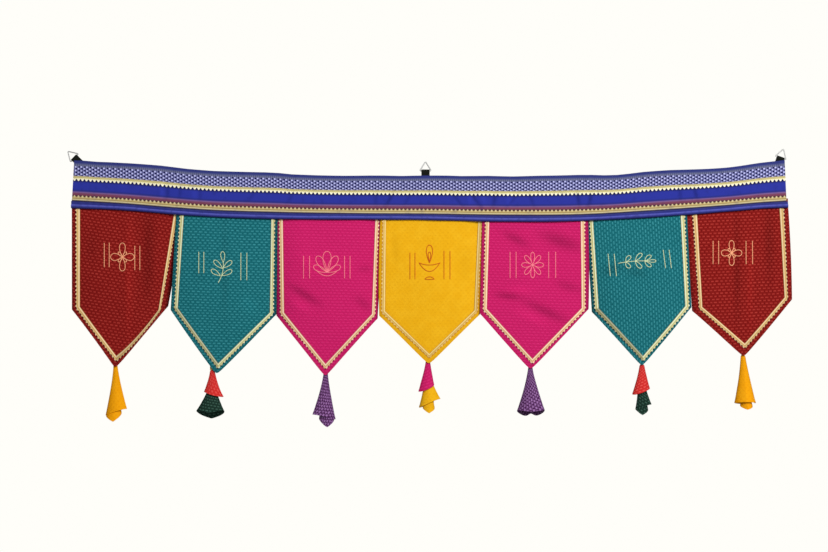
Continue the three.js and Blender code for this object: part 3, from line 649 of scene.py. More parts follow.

# Panels: top corners at the piping's lower edge, shoulders and tip as (x, z), the bow of each side and
# lower edge, and how each hangs: belly swells to the front, tuck sets a side behind its neighbour, curl
# turns a side back lower down and swing carries the tip back. turn is the tilt of the weave, and each
# crease is a soft trough (a ridge where its depth is negative): x, z, x, z, half width, depth and the
# painted shade along it (painted light where negative). A panel's shade is its painted shade along its
# left, lower and right edges, where they turn back.
panelRows = [
    {"cloth": "red", "top": (-476.5, -325), "left": (-477, -198), "tip": (-418.3, -274.9),
     "right": (-349, -193.5), "sideBow": (0, 0), "lowBow": (0, 5), "belly": 3, "tuck": (0, 6.5),
     "curl": (4, 12), "swing": 2, "turn": -9, "shade": (0.1, 0.1, 0.4),
     "creases": [(-398, -20, -402, -285, 6, -1.6, -0.2), (-373, -20, -376, -240, 9, 1.8, 0.26),
                 (-453, -84, -452, -146, 9, 0.6, 0.1)]},
    {"cloth": "teal", "top": (-335.2, -199.2), "left": (-342.8, -198.5), "tip": (-280.9, -283.3),
     "right": (-200.9, -204.3), "sideBow": (0, 0), "lowBow": (0, 0), "belly": 4, "tuck": (0, 0),
     "curl": (0, -1), "swing": -1, "turn": -2, "shade": (0.3, 0.15, 0.6),
     "creases": [(-272, -40, -272, -250, 5, 0.9, 0.13), (-252, -178, -224, -208, 9, -0.8, -0.1),
                 (-320, -136, -296, -168, 8, 0.6, 0.08)]},
    {"cloth": "magenta", "top": (-202.2, -59.5), "left": (-200.7, -206.3), "tip": (-135, -286.3),
     "right": (-65, -210.1), "sideBow": (0, 0.6), "lowBow": (0, 0), "belly": 3, "tuck": (3.6, 3.4),
     "curl": (3, 2), "swing": 1, "turn": -1, "shade": (0.35, 0.1, 0.2),
     "creases": [(-198, -158, -130, -200, 6, 1.8, 0.3), (-190, -184, -150, -204, 6, -1, -0.1),
                 (-102, -178, -68, -204, 6, 1.2, 0.18), (-98, -147, -68, -142, 5, 1, 0.14),
                 (-180, -114, -124, -168, 9, -1, -0.1)]},
    {"cloth": "yellow", "top": (-60.4, 79.4), "left": (-62.1, -206.3), "tip": (4.7, -269.9),
     "right": (73, -204.5), "sideBow": (1.3, 0), "lowBow": (0, 0), "belly": 4, "tuck": (0, 3.6),
     "curl": (-1, 2), "swing": -2, "turn": 0, "shade": (0.1, 0.1, 0.1),
     "creases": [(-44, -84, -42, -150, 6, 1.2, 0.06), (52, -95, 50, -190, 8, 0.7, 0.04)]},
    {"cloth": "magenta", "top": (76.7, 218.7), "left": (73.6, -203.5), "tip": (141.3, -277.1),
     "right": (219.3, -197.2), "sideBow": (0, 1), "lowBow": (0, 0), "belly": 3, "tuck": (0, 0),
     "curl": (-1, -1), "swing": 1, "turn": -1.3, "shade": (0.2, 0.1, 0.45),
     "creases": [(138, -91, 224, -123, 9, 2, 0.32), (94, -90, 146, -117, 6, 1.4, 0.26),
                 (82, -178, 136, -184, 5, 1.6, 0.26), (116, -180, 208, -224, 6, 1.8, 0.28),
                 (164, -159, 218, -177, 6, 1.2, 0.2), (96, -170, 156, -176, 6, -1, -0.1),
                 (104, -194, 176, -226, 7, -1, -0.1)]},
    {"cloth": "teal", "top": (217.1, 352), "left": (224.8, -201.2), "tip": (291.3, -272.3),
     "right": (358.3, -194.9), "sideBow": (0, 0), "lowBow": (0, 0), "belly": 4, "tuck": (3.4, 0),
     "curl": (3, 3), "swing": 0, "turn": 93.7, "shade": (0.5, 0.15, 0.2),
     "creases": [(228, -152, 272, -138, 7, 1, 0.26), (260, -144, 306, -154, 6, 0.8, 0.2)]},
    {"cloth": "red", "top": (350.6, 488.7), "left": (360.3, -199.9), "tip": (429.1, -259.8),
     "right": (494.7, -184.3), "sideBow": (0, 1), "lowBow": (0, 0), "belly": 3, "tuck": (2.2, 0),
     "curl": (3, 5), "swing": 2, "turn": 2.5, "shade": (0.3, 0.1, 0.1),
     "creases": [(418, -20, 420, -260, 5, 1.4, 0.26), (436, -66, 437, -260, 4, -1.2, -0.2),
                 (462, -20, 464, -200, 7, 1.6, 0.24)]},
]
sheet = {"thickness": 1.4, "solidThickness": 1.6, "tuckUp": 12, "tipRadius": 3, "tuckShare": 0.25,
         "curlShare": 0.3, "edgeTurn": 1, "edgeWidth": 4.5, "shadeWidth": 4, "slack": 0.5,
         "columns": 100, "rows": 100}
creaseDepth, creaseShade = 5, 6  # columns of a crease


# 1 at an edge, easing to 0 at the given share of the width
def edgeShare(share, width):
    return np.clip(1 - share / width, 0, 1) ** 2


# The x of a panel's left (0) or right (1) side edge at height z; below its shoulder it runs on straight
def sideX(panel, side, z):
    topX = panel["top"][side]
    shoulderX, shoulderZ = panel[("left", "right")[side]]
    topZ = hemLine(topX)
    share = (topZ - z) / (topZ - shoulderZ)
    within = np.clip(share, 0, 1)
    outward = (-1, 1)[side] * panel["sideBow"][side] * 4 * within * (1 - within)
    return lerp(topX, shoulderX, share) + outward


# Soft troughs along lines: bell-shaped across and fading to both ends, as deep as a column of the rows says
def creaseSum(rows, x, z, column):
    total = np.zeros_like(x)
    for row in rows:
        fromX, fromZ, toX, toZ, half = row[:5]
        length = math.hypot(toX - fromX, toZ - fromZ)
        alongX, alongZ = (toX - fromX) / length, (toZ - fromZ) / length
        share = np.clip(((x - fromX) * alongX + (z - fromZ) * alongZ) / length, 0, 1)
        off = (x - fromX) * alongZ - (z - fromZ) * alongX
        total = total + row[column] * np.exp(-(off / half) ** 2) * np.sin(math.pi * share) ** 2
    return total


# The y of a panel's middle surface at x and z: behind the band, tucked, curled, swollen and swung as its
# row says, its side edges turned back, with its creases and a slight slackness, which fade out at the sides
def panelY(panel, x, z):
    left, right = sideX(panel, 0, z), sideX(panel, 1, z)
    u = np.clip((x - left) / (right - left), 0, 1)
    hem = hemLine(x)
    fall = np.clip((hem - z) / (hem - panel["tip"][1]), 0, 1)
    behindBand = band["halfDepth"] + sheet["solidThickness"] / 2 + seamGap
    tuck = sum(panel["tuck"][k] * edgeShare((u, 1 - u)[k], sheet["tuckShare"]) for k in (0, 1))
    curl = sum(panel["curl"][k] * edgeShare((u, 1 - u)[k], sheet["curlShare"]) for k in (0, 1))
    belly = panel["belly"] * np.sin(math.pi * u) * np.sin(math.pi * fall)
    inside = np.clip(np.minimum(u, 1 - u) / 0.09, 0, 1) * np.clip(fall / 0.08, 0, 1)
    turned = sheet["edgeTurn"] * sum(edgeShare(gap, sheet["edgeWidth"]) for gap in (x - left, right - x))
    slack = sheet["slack"] * np.sin(x / 13 + z / 29) * np.sin(z / 21 - x / 47)
    creased = inside * (creaseSum(panel["creases"], x, z, creaseDepth) + slack)
    return (headingY(x) + behindBand + tuck + curl * np.sin(math.pi / 2 * fall) - belly
            + panel["swing"] * fall * fall + turned + creased)


# The y of a panel's front face
def clothFront(panel, x, z):
    return panelY(panel, x, z) - sheet["thickness"] / 2


# Share of a panel's width at which its tip lies
def tipShareOf(panel):
    tipX, tipZ = panel["tip"]
    left, right = sideX(panel, 0, tipZ), sideX(panel, 1, tipZ)
    return (tipX - left) / (right - left)


# The height of a panel's lower edge at share u across it, with the point rounded off
def lowerEdge(panel, u):
    tipShare = tipShareOf(panel)
    onLeft = u < tipShare
    away = np.where(onLeft, (tipShare - u) / tipShare, (u - tipShare) / (1 - tipShare))
    rise = np.where(onLeft, panel["left"][1], panel["right"][1]) - panel["tip"][1]
    rounding = sheet["tipRadius"] / rise
    softened = (np.hypot(away, rounding) - rounding) / (np.hypot(1, rounding) - rounding)
    bow = np.where(onLeft, *panel["lowBow"]) * 4 * away * (1 - away)
    return panel["tip"][1] + rise * softened - bow


# A panel: a grid from behind the piping down to the lower edge, its columns crowded at the sides and tip
def pointedPanel(number, panel):
    half = (1 - np.cos(np.linspace(0, math.pi, sheet["columns"] // 2))) / 2
    tipShare = tipShareOf(panel)
    across = np.concatenate([half * tipShare, tipShare + half[1:] * (1 - tipShare)])
    u, v = np.meshgrid(across, np.sin(np.linspace(0, math.pi / 2, sheet["rows"])), indexing="ij")
    topZ = hemLine(lerp(*panel["top"], u)) + sheet["tuckUp"]
    z = lerp(topZ, lowerEdge(panel, u), v)
    x = lerp(sideX(panel, 0, z), sideX(panel, 1, z), u)
    middle = np.stack([x, panelY(panel, x, z), z], -1)
    turn = math.radians(panel["turn"])
    uv = np.stack([x * math.cos(turn) + z * math.sin(turn), z * math.cos(turn) - x * math.sin(turn)], -1)
    shape = thickSheet(middle, sheet["thickness"], uv)
    width = sideX(panel, 1, z) - sideX(panel, 0, z)
    # Painted shade: the cloth darkened towards its edges where they turn back and along its creases, with
    # painted light along ridges
    gaps = (u * width, (z - lowerEdge(panel, u)) * 0.7, (1 - u) * width)
    shade = sum(dark * np.exp(-(gap / sheet["shadeWidth"]) ** 2) for dark, gap in zip(panel["shade"], gaps))
    shade = shade + creaseSum(panel["creases"], x, z, creaseShade)
    shade = np.tile(np.clip(shade, -0.4, 0.9).ravel(), 2)
    cloth = panel["cloth"]
    piece = putPiece(f"panel{number}", shape, cloths[cloth], f"{cloth}_cloth", f"panel_{number}",
                     shade=shade)
    return piece, middle


# Lace: inset from the left, both lower and the right edges, and width at the top left, left bend, point,
# right bend and top right. Its stripe is the inner part and its picots stand out from that. dark is its
# painted shade along the left, both lower and the right edges.
laceRows = [
    {"inset": (4.7, 4.8, 2.6, 7.3), "widths": (6.6, 6.6, 5.6, 3, 6.6), "dark": (0, 0.04, 0.28, 0.04)},
    {"inset": (3.9, 3.8, 2.2, 2.9), "widths": (6.2, 5.6, 5.6, 5.6, 5.6), "dark": (0.08, 0.36, 0, 0)},
    {"inset": (3.9, 4.3, 4.4, 2.4), "widths": (6.2, 6.4, 5.6, 5.2, 5.8), "dark": (0, 0.08, 0.06, 0)},
    {"inset": (1.9, 4.3, 3.7, 2.3), "widths": (5.4, 5.8, 5.2, 5.4, 6.2), "dark": (0, 0.04, 0.06, 0.16)},
    {"inset": (2.9, 5.1, 1.7, 3.4), "widths": (6.4, 6, 5.6, 6, 6.6), "dark": (0, 0.08, 0, 0)},
    {"inset": (2.7, 3.6, 1.2, 2.1), "widths": (5.8, 6.2, 5.6, 6.4, 6.6), "dark": (0, 0.5, 0, 0)},
    {"inset": (8, 7.3, 4.3, 5), "widths": (7.2, 5.2, 5.6, 5.6, 7), "dark": (0.1, 0.12, 0.14, 0.16)},
]
lace = {"stripe": 0.7, "stripeRows": 9, "thickness": 0.8, "lift": 0.1, "step": 1.2,
        "ground": 0.97, "groundRows": 4, "groundThickness": 0.2,
        "picotPitch": 5.3, "picotHalf": 1.7, "picotRise": 0.6, "picotLift": 0.25}


# The corner at b of the line a, b, c once its two edges are moved inwards
def insetCorner(a, b, c, insetBefore, insetAfter):
    a, b, c = (np.array(point, float) for point in (a, b, c))
    before, after = ((to - start) / np.linalg.norm(to - start) for start, to in ((a, b), (b, c)))
    before, after = (np.array([-edge[1], edge[0]]) for edge in (before, after))
    return b + np.linalg.solve(np.stack([before, after]), [insetBefore, insetAfter])


# Lace corners on a line at the given share from its outer (0) to its inner edge (1)
def laceCorners(panel, row, share):
    left, lowLeft, lowRight, right = row["inset"]
    widths = [share * width for width in row["widths"]]
    topLeft, topRight = ((x, hemLine(x)) for x in panel["top"])
    shoulderLeft, tip, shoulderRight = panel["left"], panel["tip"], panel["right"]
    startX, endX = topLeft[0] + left + widths[0], topRight[0] - right - widths[4]
    return np.array([
        (startX, hemLine(startX) - seamGap),
        insetCorner(topLeft, shoulderLeft, tip, left + widths[1], lowLeft + widths[1]),
        insetCorner(shoulderLeft, tip, shoulderRight, lowLeft + widths[2], lowRight + widths[2]),
        insetCorner(tip, shoulderRight, topRight, lowRight + widths[3], right + widths[3]),
        (endX, hemLine(endX) - seamGap),
    ])


# A line along lace corners: straight legs with even steps, each bowed down in the middle
def alongCorners(corners, counts, bows):
    legs = []
    for leg, count in enumerate(counts):
        share = np.linspace(0, 1, count, endpoint=leg == len(counts) - 1)[:, None]
        points = lerp(corners[leg], corners[leg + 1], share)
        points[:, 1:] -= bows[leg] * 4 * share * (1 - share)
        legs.append(points)
    return np.concatenate(legs)


# A strip of lace that follows the cloth, over the given shares of the way from its inner to its outer line,
# lifted off the cloth; reach is the distance along it and marks its places across in the material
def laceStrip(panel, inner, outer, reach, shares, lift, thickness, marks):
    place = lerp(inner[:, None], outer[:, None], shares[None, :, None])
    x, z = place[..., 0], place[..., 1]
    middle = np.stack([x, clothFront(panel, x, z) - lift, z], -1)
    uv = np.stack(np.broadcast_arrays(reach[:, None], marks), -1)
    return thickSheet(middle, thickness, uv)


# One picot seen flat: an outline from base to point, a raised middle and the outline on the cloth, as
# along, outward and height
picotOutline = np.array([(-1, -0.1, 0.7), (-0.62, 0.6, 0.7), (0, 1, 0.6), (0.62, 0.6, 0.7), (1, -0.1, 0.7)])
picotPoints = np.concatenate([picotOutline, [(0, 0.35, 1)], picotOutline * (1, 1, 0)])


# Places of the picots along a lace: each leg has a whole number of them, set in half a pitch from its ends
def picotPlaces(reach, counts):
    stops = np.minimum(np.cumsum(counts), len(reach) - 1)
    starts = np.concatenate([[0], stops[:-1]])
    places = []
    for start, length in zip(reach[starts], reach[stops] - reach[starts]):
        count = round(length / lace["picotPitch"])
        places.append(start + (np.arange(count) + 0.5) * length / count)
    return np.concatenate(places)


# A row of picots from the stripe's edge out to the outer line
def lacePicots(panel, inner, outer, reach, centres):
    edge = lerp(inner, outer, lace["stripe"])
    base, point = (np.stack([np.interp(centres, reach, line[:, k]) for k in (0, 1)], -1)
                   for line in (edge, outer))
    along = np.gradient(base, axis=0)
    along /= np.linalg.norm(along, axis=1, keepdims=True)
    flat = (base[:, None] + along[:, None] * picotPoints[None, :, :1] * lace["picotHalf"]
            + (point - base)[:, None] * picotPoints[None, :, 1:2])
    x, z = flat[..., 0], flat[..., 1]
    y = clothFront(panel, x, z) - lace["picotLift"] - picotPoints[None, :, 2] * lace["picotRise"]
    rim = np.arange(5)
    after = np.roll(rim, -1)
    fronts = np.stack([np.full(5, 5), rim, after], -1)
    backs = np.array([(6, 8, 7), (6, 9, 8), (6, 10, 9)])
    walls = np.stack([after, rim, rim + 6, after + 6], -1)
    starts = (np.arange(len(centres)) * len(picotPoints))[:, None, None]
    faces = [(face[None] + starts).reshape(-1, face.shape[1]) for face in (fronts, backs, walls)]
    uv = np.stack(np.broadcast_arrays(centres[:, None], 20 + picotPoints[None, :, 1]), -1)
    return np.stack([x, y, z], -1).reshape(-1, 3), faces, uv.reshape(-1, 2)


# A panel's lace: a stripe with two ridges, a thin ground from under it to just short of the picots' points,
# which carries the painted shadow between the picots, and the row of picots
def panelLace(number, panel, row):
    bows = (0, *panel["lowBow"], 0)
    outerCorners, innerCorners = laceCorners(panel, row, 0), laceCorners(panel, row, 1)
    lengths = np.linalg.norm(np.diff(outerCorners, axis=0), axis=1)
    counts = [round(length / lace["step"]) for length in lengths]
    outer, inner = (alongCorners(corners, counts, bows) for corners in (outerCorners, innerCorners))
    reach = np.concatenate([[0], np.cumsum(np.linalg.norm(np.diff(outer, axis=0), axis=1))])
    shares = np.linspace(0, lace["stripe"], lace["stripeRows"])
    across = shares / lace["stripe"]
    ridges = 0.35 * np.exp(-((across - 0.42) / 0.16) ** 2) + 0.2 * np.exp(-((across - 0.92) / 0.1) ** 2)
    lift = lace["thickness"] / 2 + lace["lift"] + ridges
    stripe = laceStrip(panel, inner, outer, reach, shares, lift, lace["thickness"], across * 10)
    # The ground: a thin sheet on the cloth that carries the painted shadow between the picots
    shares = np.linspace(lace["stripe"] - 0.05, lace["ground"], lace["groundRows"])
    ground = laceStrip(panel, inner, outer, reach, shares, lace["groundThickness"], lace["groundThickness"],
                       np.linspace(11, 14, lace["groundRows"]))
    centres = picotPlaces(reach, counts)
    shape = joined(stripe, ground, lacePicots(panel, inner, outer, reach, centres))
    # Painted shade: each leg of lace darkened by its share in dark, where it lies turned into shade
    dark = np.repeat(row["dark"], counts)
    stripDark = [np.tile(np.repeat(dark, lace[rows]), 2) for rows in ("stripeRows", "groundRows")]
    picotDark = np.repeat(np.interp(centres, reach, dark), len(picotPoints))
    shade = np.concatenate([*stripDark, picotDark])
    return putPiece(f"panelLace{number}", shape, laces[panel["cloth"]], "gold_lace",
                    f"panel_lace_{number}", sharp=40, shade=shade)


# Embroidery: pairs of upright bars, as the x of both and the heights of their ends, how far they lean, and
# one plain motif on each panel, with its middle and its size
stitch = {"length": 2.4, "radius": 0.56, "overlap": 0.12, "lift": 0.1, "arch": 0.25, "points": 5,
          "sides": 6}
embroideryRows = [
    {"bars": [((-432.3, -425.6), -108.4, -140.7), ((-391, -384.3), -112.4, -144.7)],
     "motif": "quatrefoil", "middle": (-407.8, -127.2), "size": (32, 38)},
    {"bars": [((-304.9, -298.1), -120.5, -148.7), ((-248.3, -240.3), -121.8, -158.2)],
     "motif": "sprig", "middle": (-273.9, -140.7), "size": (38, 42)},
    {"bars": [((-164.2, -156.1), -125.9, -156.1), ((-109, -101.6), -125.9, -156.1)],
     "motif": "lotus", "middle": (-132.6, -136.6), "size": (38, 38)},
    {"bars": [((-20.9, -14.1), -121.8, -156.8), ((24.9, 33), -119.1, -156.8)],
     "motif": "lamp", "middle": (5.4, -133.9), "size": (28, 46)},
    {"bars": [((113.7, 121.8), -120.5, -155.5), ((165.6, 175), -120.5, -155.5)],
     "motif": "flower", "middle": (144, -138), "size": (30, 35)},
    {"bars": [((245.6, 253.7), -123.2, -152.8), ((319.7, 327.7), -117.8, -142)], "lean": 3,
     "motif": "branch", "middle": (284.7, -132.6), "size": (51, 31)},
    {"bars": [((387, 394.4), -105.7, -136.6), ((431.4, 440.1), -105.7, -136.6)],
     "motif": "quatrefoil", "middle": (411.9, -121.8), "size": (28, 34)},
]


# A teardrop loop that leaves a point at an angle in degrees: a cosine along and a sine across
def petal(fromX, fromZ, angle, length, width):
    t = np.linspace(0, 2 * math.pi, 60)
    along = length * (1 - np.cos(t)) / 2
    across = width * np.sin(t) * np.sqrt((1 - np.cos(t)) / 2) / 1.3
    turn = math.radians(angle)
    return np.stack([fromX + along * math.cos(turn) - across * math.sin(turn),
                     fromZ + along * math.sin(turn) + across * math.cos(turn)], -1)


# A curve from one point to another that bends towards a third
def bend(start, pull, end):
    t = np.linspace(0, 1, 30)[:, None]
    start, pull, end = (np.array(point, float) for point in (start, pull, end))
    return start * (1 - t) ** 2 + pull * 2 * t * (1 - t) + end * t * t


# Motifs, as lines in a square from -1 to 1. This one: four petals with four small ones between them
def quatrefoil():
    return [petal(0, 0, angle, 1, 0.42) for angle in (0, 90, 180, 270)] + [
        petal(0, 0, angle, 0.5, 0.16) for angle in (45, 135, 225, 315)]


# A bent stem with five leaves
def sprig():
    leaves = [(-0.1, -0.55, 150, 0.75), (0, -0.55, 25, 0.8), (0.05, -0.1, 140, 0.8), (0.1, -0.05, 35, 0.75),
              (0.1, 0.3, 95, 0.7)]
    return [bend((-0.25, -1), (0.15, -0.4), (0.1, 0.3))] + [petal(*leaf, 0.24) for leaf in leaves]


# Five petals that fan out over a round base
def lotus():
    petals = [(90, 1.5, 0.5), (122, 1.35, 0.42), (58, 1.35, 0.42), (155, 1.05, 0.34), (25, 1.05, 0.34)]
    base = bend((-0.75, -0.45), (0, -1.25), (0.75, -0.45))
    return [petal(0, -0.6, *row) for row in petals] + [base]


# A bowl above its foot, with a flame in a flame
def lamp():
    bowl = [bend((-1, -0.05), (0, -1.05), (1, -0.05)), bend((-1, -0.05), (0, -0.3), (1, -0.05))]
    foot = [bend((-0.45, -1), (0, -0.72), (0.45, -1)), bend((-0.45, -1), (0, -1.05), (0.45, -1))]
    flame = [petal(0, -0.05, 90, 1.05, 0.5), petal(0, 0.05, 90, 0.55, 0.22)]
    return bowl + foot + flame


# Eight petals, one every 45 degrees
def flower():
    return [petal(0, 0, angle, 1, 0.3) for angle in range(0, 360, 45)]


# A level stem with three pairs of leaves and one at its end
def branch():
    leaves = [(-0.6, -0.1, 70, 0.6), (-0.6, -0.1, 290, 0.55), (-0.1, 0, 65, 0.75), (-0.1, 0, 295, 0.7),
              (0.4, 0, 60, 0.6), (0.4, 0, 300, 0.6), (0.5, 0, 0, 0.5)]
    return [bend((-1, -0.2), (-0.2, 0.05), (0.5, 0))] + [petal(*leaf, 0.2) for leaf in leaves]


motifs = {"quatrefoil": quatrefoil, "sprig": sprig, "lotus": lotus, "lamp": lamp, "flower": flower,
          "branch": branch}


# A panel's stitching: every line is cut into stitches, each a short thread that arches over the cloth
def embroidery(number, panel, row):
    lean = row.get("lean", 0)
    lines = [np.array([(x, top), (x + lean, bottom)]) for pair, top, bottom in row["bars"] for x in pair]
    scale = np.array(row["size"]) / 2
    lines += [line * scale + row["middle"] for line in motifs[row["motif"]]()]
    starts, ends = [], []
    for line in lines:
        length = np.linalg.norm(np.diff(line, axis=0), axis=1).sum()
        points = evenly(line, max(3, round(length / stitch["length"]) + 1))
        starts.append(points[:-1])
        ends.append(points[1:])
    starts, ends = np.concatenate(starts), np.concatenate(ends)
    share = np.linspace(-stitch["overlap"], 1 + stitch["overlap"], stitch["points"])
    place = lerp(starts[:, None], ends[:, None], share[None, :, None])
    arch = np.sin(math.pi * np.linspace(0, 1, stitch["points"]))
    x, z = place[..., 0], place[..., 1]
    y = clothFront(panel, x, z) - stitch["lift"] - stitch["arch"] * arch
    radii = stitch["radius"] * (0.55 + 0.45 * np.sqrt(arch))
    shape = threadTubes(np.stack([x, y, z], -1), radii[None], stitch["sides"])
    return putPiece(f"embroidery{number}", shape, threads[panel["cloth"]], "gold_lace", sharp=60)


panelPieces = []
for number, (panel, laceRow, stitchRow) in enumerate(zip(panelRows, laceRows, embroideryRows), 1):
    piece, middle = pointedPanel(number, panel)
    trims = [panelLace(number, panel, laceRow), embroidery(number, panel, stitchRow)]
    size = middle.reshape(-1, 3).max(0) - middle.reshape(-1, 3).min(0)
    size[0] * mm
    size[2] * mm
    panelPieces.append(piece)
print("panels made:", len(panelPieces))

# Tassels: number is that of the panel, and part is cap or skirt where a tassel has both. x and z are of the
# top, lean is that of the hem in x, neck and flare are the half-widths at the neck and hem, length is where
# that hem width is reached, bell its swell, and hem the hem's drop. The hem lifts at the front, at both
# sides, and by slant on the side slantAt (0 right, -90 front), and arch pinches it up at the back. inner is
# the roll's inner turn: its drop, how far its hem rises, the side where it does, its rise at both sides, its
# half-width and its shift in x; it begins between the sides in begins and lies against the front by the
# share inFront. edge is the direction of the free edge, reach its extra reach, way how the roll winds
# inwards, tie the drop at which the neck is bound, turn the tilt of the weave, dark the painted shade of the
# front's left half and backDark the painted shadow on the inside of the back, where it shows below the hem.
# tone is the finish where it isn't the cloth's usual one.
plainRoll = {"part": "", "neck": 2.7, "frontLift": 0, "sideLift": 0, "sidePower": 2, "slant": 0,
             "slantAt": 0, "arch": 0, "reach": 2, "bell": 1.25, "way": -1, "tie": 0, "turn": 0,
             "dark": 0, "backDark": 0, "begins": (150, 30), "inFront": 0.7}
tasselRows = [
    {"number": 1, "cloth": "yellow", "tone": "amber", "x": -418.6, "z": -271.5, "lean": 2,
     "flare": 15.5, "length": 72, "hem": 69.7, "slant": 9.4, "slantAt": -20,
     "inner": (77.5, 7, 65, 6, 10.6, -3.4), "edge": -20, "reach": 3},
    {"number": 2, "part": "cap", "cloth": "scarlet", "x": -287.2, "z": -272.5, "lean": -1.4,
     "flare": 10.8, "length": 39, "hem": 43, "slant": 6.5, "slantAt": 180,
     "inner": (35, 0, 90, 0, 7.6, 0), "edge": -10, "reach": 4, "bell": 1.7, "tie": 8, "turn": 75},
    {"number": 2, "part": "skirt", "cloth": "green", "x": -287.4, "z": -301, "lean": -2.6, "neck": 4.7,
     "flare": 22.6, "length": 40, "hem": 45.2, "frontLift": 9.5, "sideLift": 6.8, "sidePower": 1,
     "inner": (31, 0, 90, 0, 13, 0), "begins": (-30, -100), "edge": -35, "reach": 1.5, "turn": 8},
    {"number": 3, "cloth": "purple", "x": -134.6, "z": -283.5, "lean": -2, "neck": 2.9, "flare": 16.5,
     "length": 66, "hem": 62.9, "slant": 7, "slantAt": -160, "inner": (72.5, 9, 90, 7, 10.8, 4),
     "edge": -160, "reach": 3.5, "way": 1, "begins": (30, 150), "turn": 50},
    {"number": 4, "part": "cap", "cloth": "magenta", "x": 3.4, "z": -265, "lean": -0.4, "flare": 10,
     "length": 38, "hem": 34, "slant": -9.5, "slantAt": -165, "inner": (31, 0, 90, 0, 7, 0),
     "edge": -165, "reach": 1, "way": 1, "begins": (30, 150), "turn": 20},
    {"number": 4, "part": "skirt", "cloth": "yellow", "x": 3, "z": -291, "lean": 4.6, "neck": 5,
     "flare": 17, "length": 42, "hem": 39.3, "slant": 12, "slantAt": -15,
     "inner": (46, 5, 90, 4, 8, -3), "edge": -15, "reach": 5},
    {"number": 5, "cloth": "purple", "x": 141.6, "z": -273.5, "lean": 1.5, "flare": 19.5, "length": 62,
     "hem": 70, "sideLift": 5, "slant": 9, "slantAt": -84, "inner": (56, 0, 90, 0, 13, 0),
     "begins": (-30, -100), "arch": 4, "backDark": 0.35, "edge": -40, "reach": 1.5, "turn": 82},
    {"number": 6, "part": "cap", "cloth": "scarlet", "x": 291.9, "z": -269, "lean": -1, "flare": 11,
     "length": 40, "hem": 43.6, "slant": 8.7, "slantAt": 20, "inner": (36, 0, 90, 0, 7.6, 0),
     "edge": -10, "tie": 4, "turn": -25},
    {"number": 6, "part": "skirt", "cloth": "green", "x": 291.2, "z": -299, "lean": 2.6, "neck": 5.1,
     "flare": 11, "length": 36, "hem": 33.8, "slant": 7, "slantAt": -15,
     "inner": (40.8, 5, 90, 5, 8.6, -2), "edge": -15, "reach": 4, "turn": 35},
    {"number": 7, "cloth": "yellow", "tone": "amber", "x": 428.4, "z": -257, "lean": 3.2, "flare": 14,
     "length": 66, "hem": 69, "frontLift": 3.5, "inner": (75.8, 5, 90, 2, 7.4, 1.4), "inFront": 0.3,
     "edge": 20, "reach": 0.5, "tie": 3.5, "dark": 0.1},
]
# All rolls: the pitch between turns, the depth as a share of the width, the pleats at the neck and the
# waves below them, the inner turn's neck and pitch, how far a tie draws the neck in, and the turned hem
roll = {"turns": 1.6, "pitch": 1.35, "depth": 0.82, "neck": 2.7, "wingShare": 0.3, "archHalf": 13,
        "thickness": 0.9, "solidThickness": 1, "columns": 140, "rows": 44,
        "pleat": 0.3, "pleats": 7, "pleatFade": 0.3, "wave": 0.35, "waves": 3, "waveTwist": 5,
        "innerNeck": 1.2, "innerFrom": 1.1, "innerPitch": 0.6, "tied": 0.4,
        "hem": 3.5, "hemEase": 0.6, "plainShare": 0.85, "hemShare": 0.35, "weaveShare": 0.8}


# The y of the middle of the tassel that hangs behind the tip of a panel
def tasselY(number):
    panel = panelRows[number - 1]
    tipX, tipZ = (np.array([value], float) for value in panel["tip"])
    return (panelY(panel, tipX, tipZ)[0] + sheet["solidThickness"] / 2 + seamGap
            + roll["depth"] * (roll["neck"] + roll["solidThickness"] / 2) + seamGap)


# Eases from 0 at low to 1 at high
def eased(value, low, high):
    share = np.clip((value - low) / (high - low), 0, 1)
    return share * share * (3 - 2 * share)


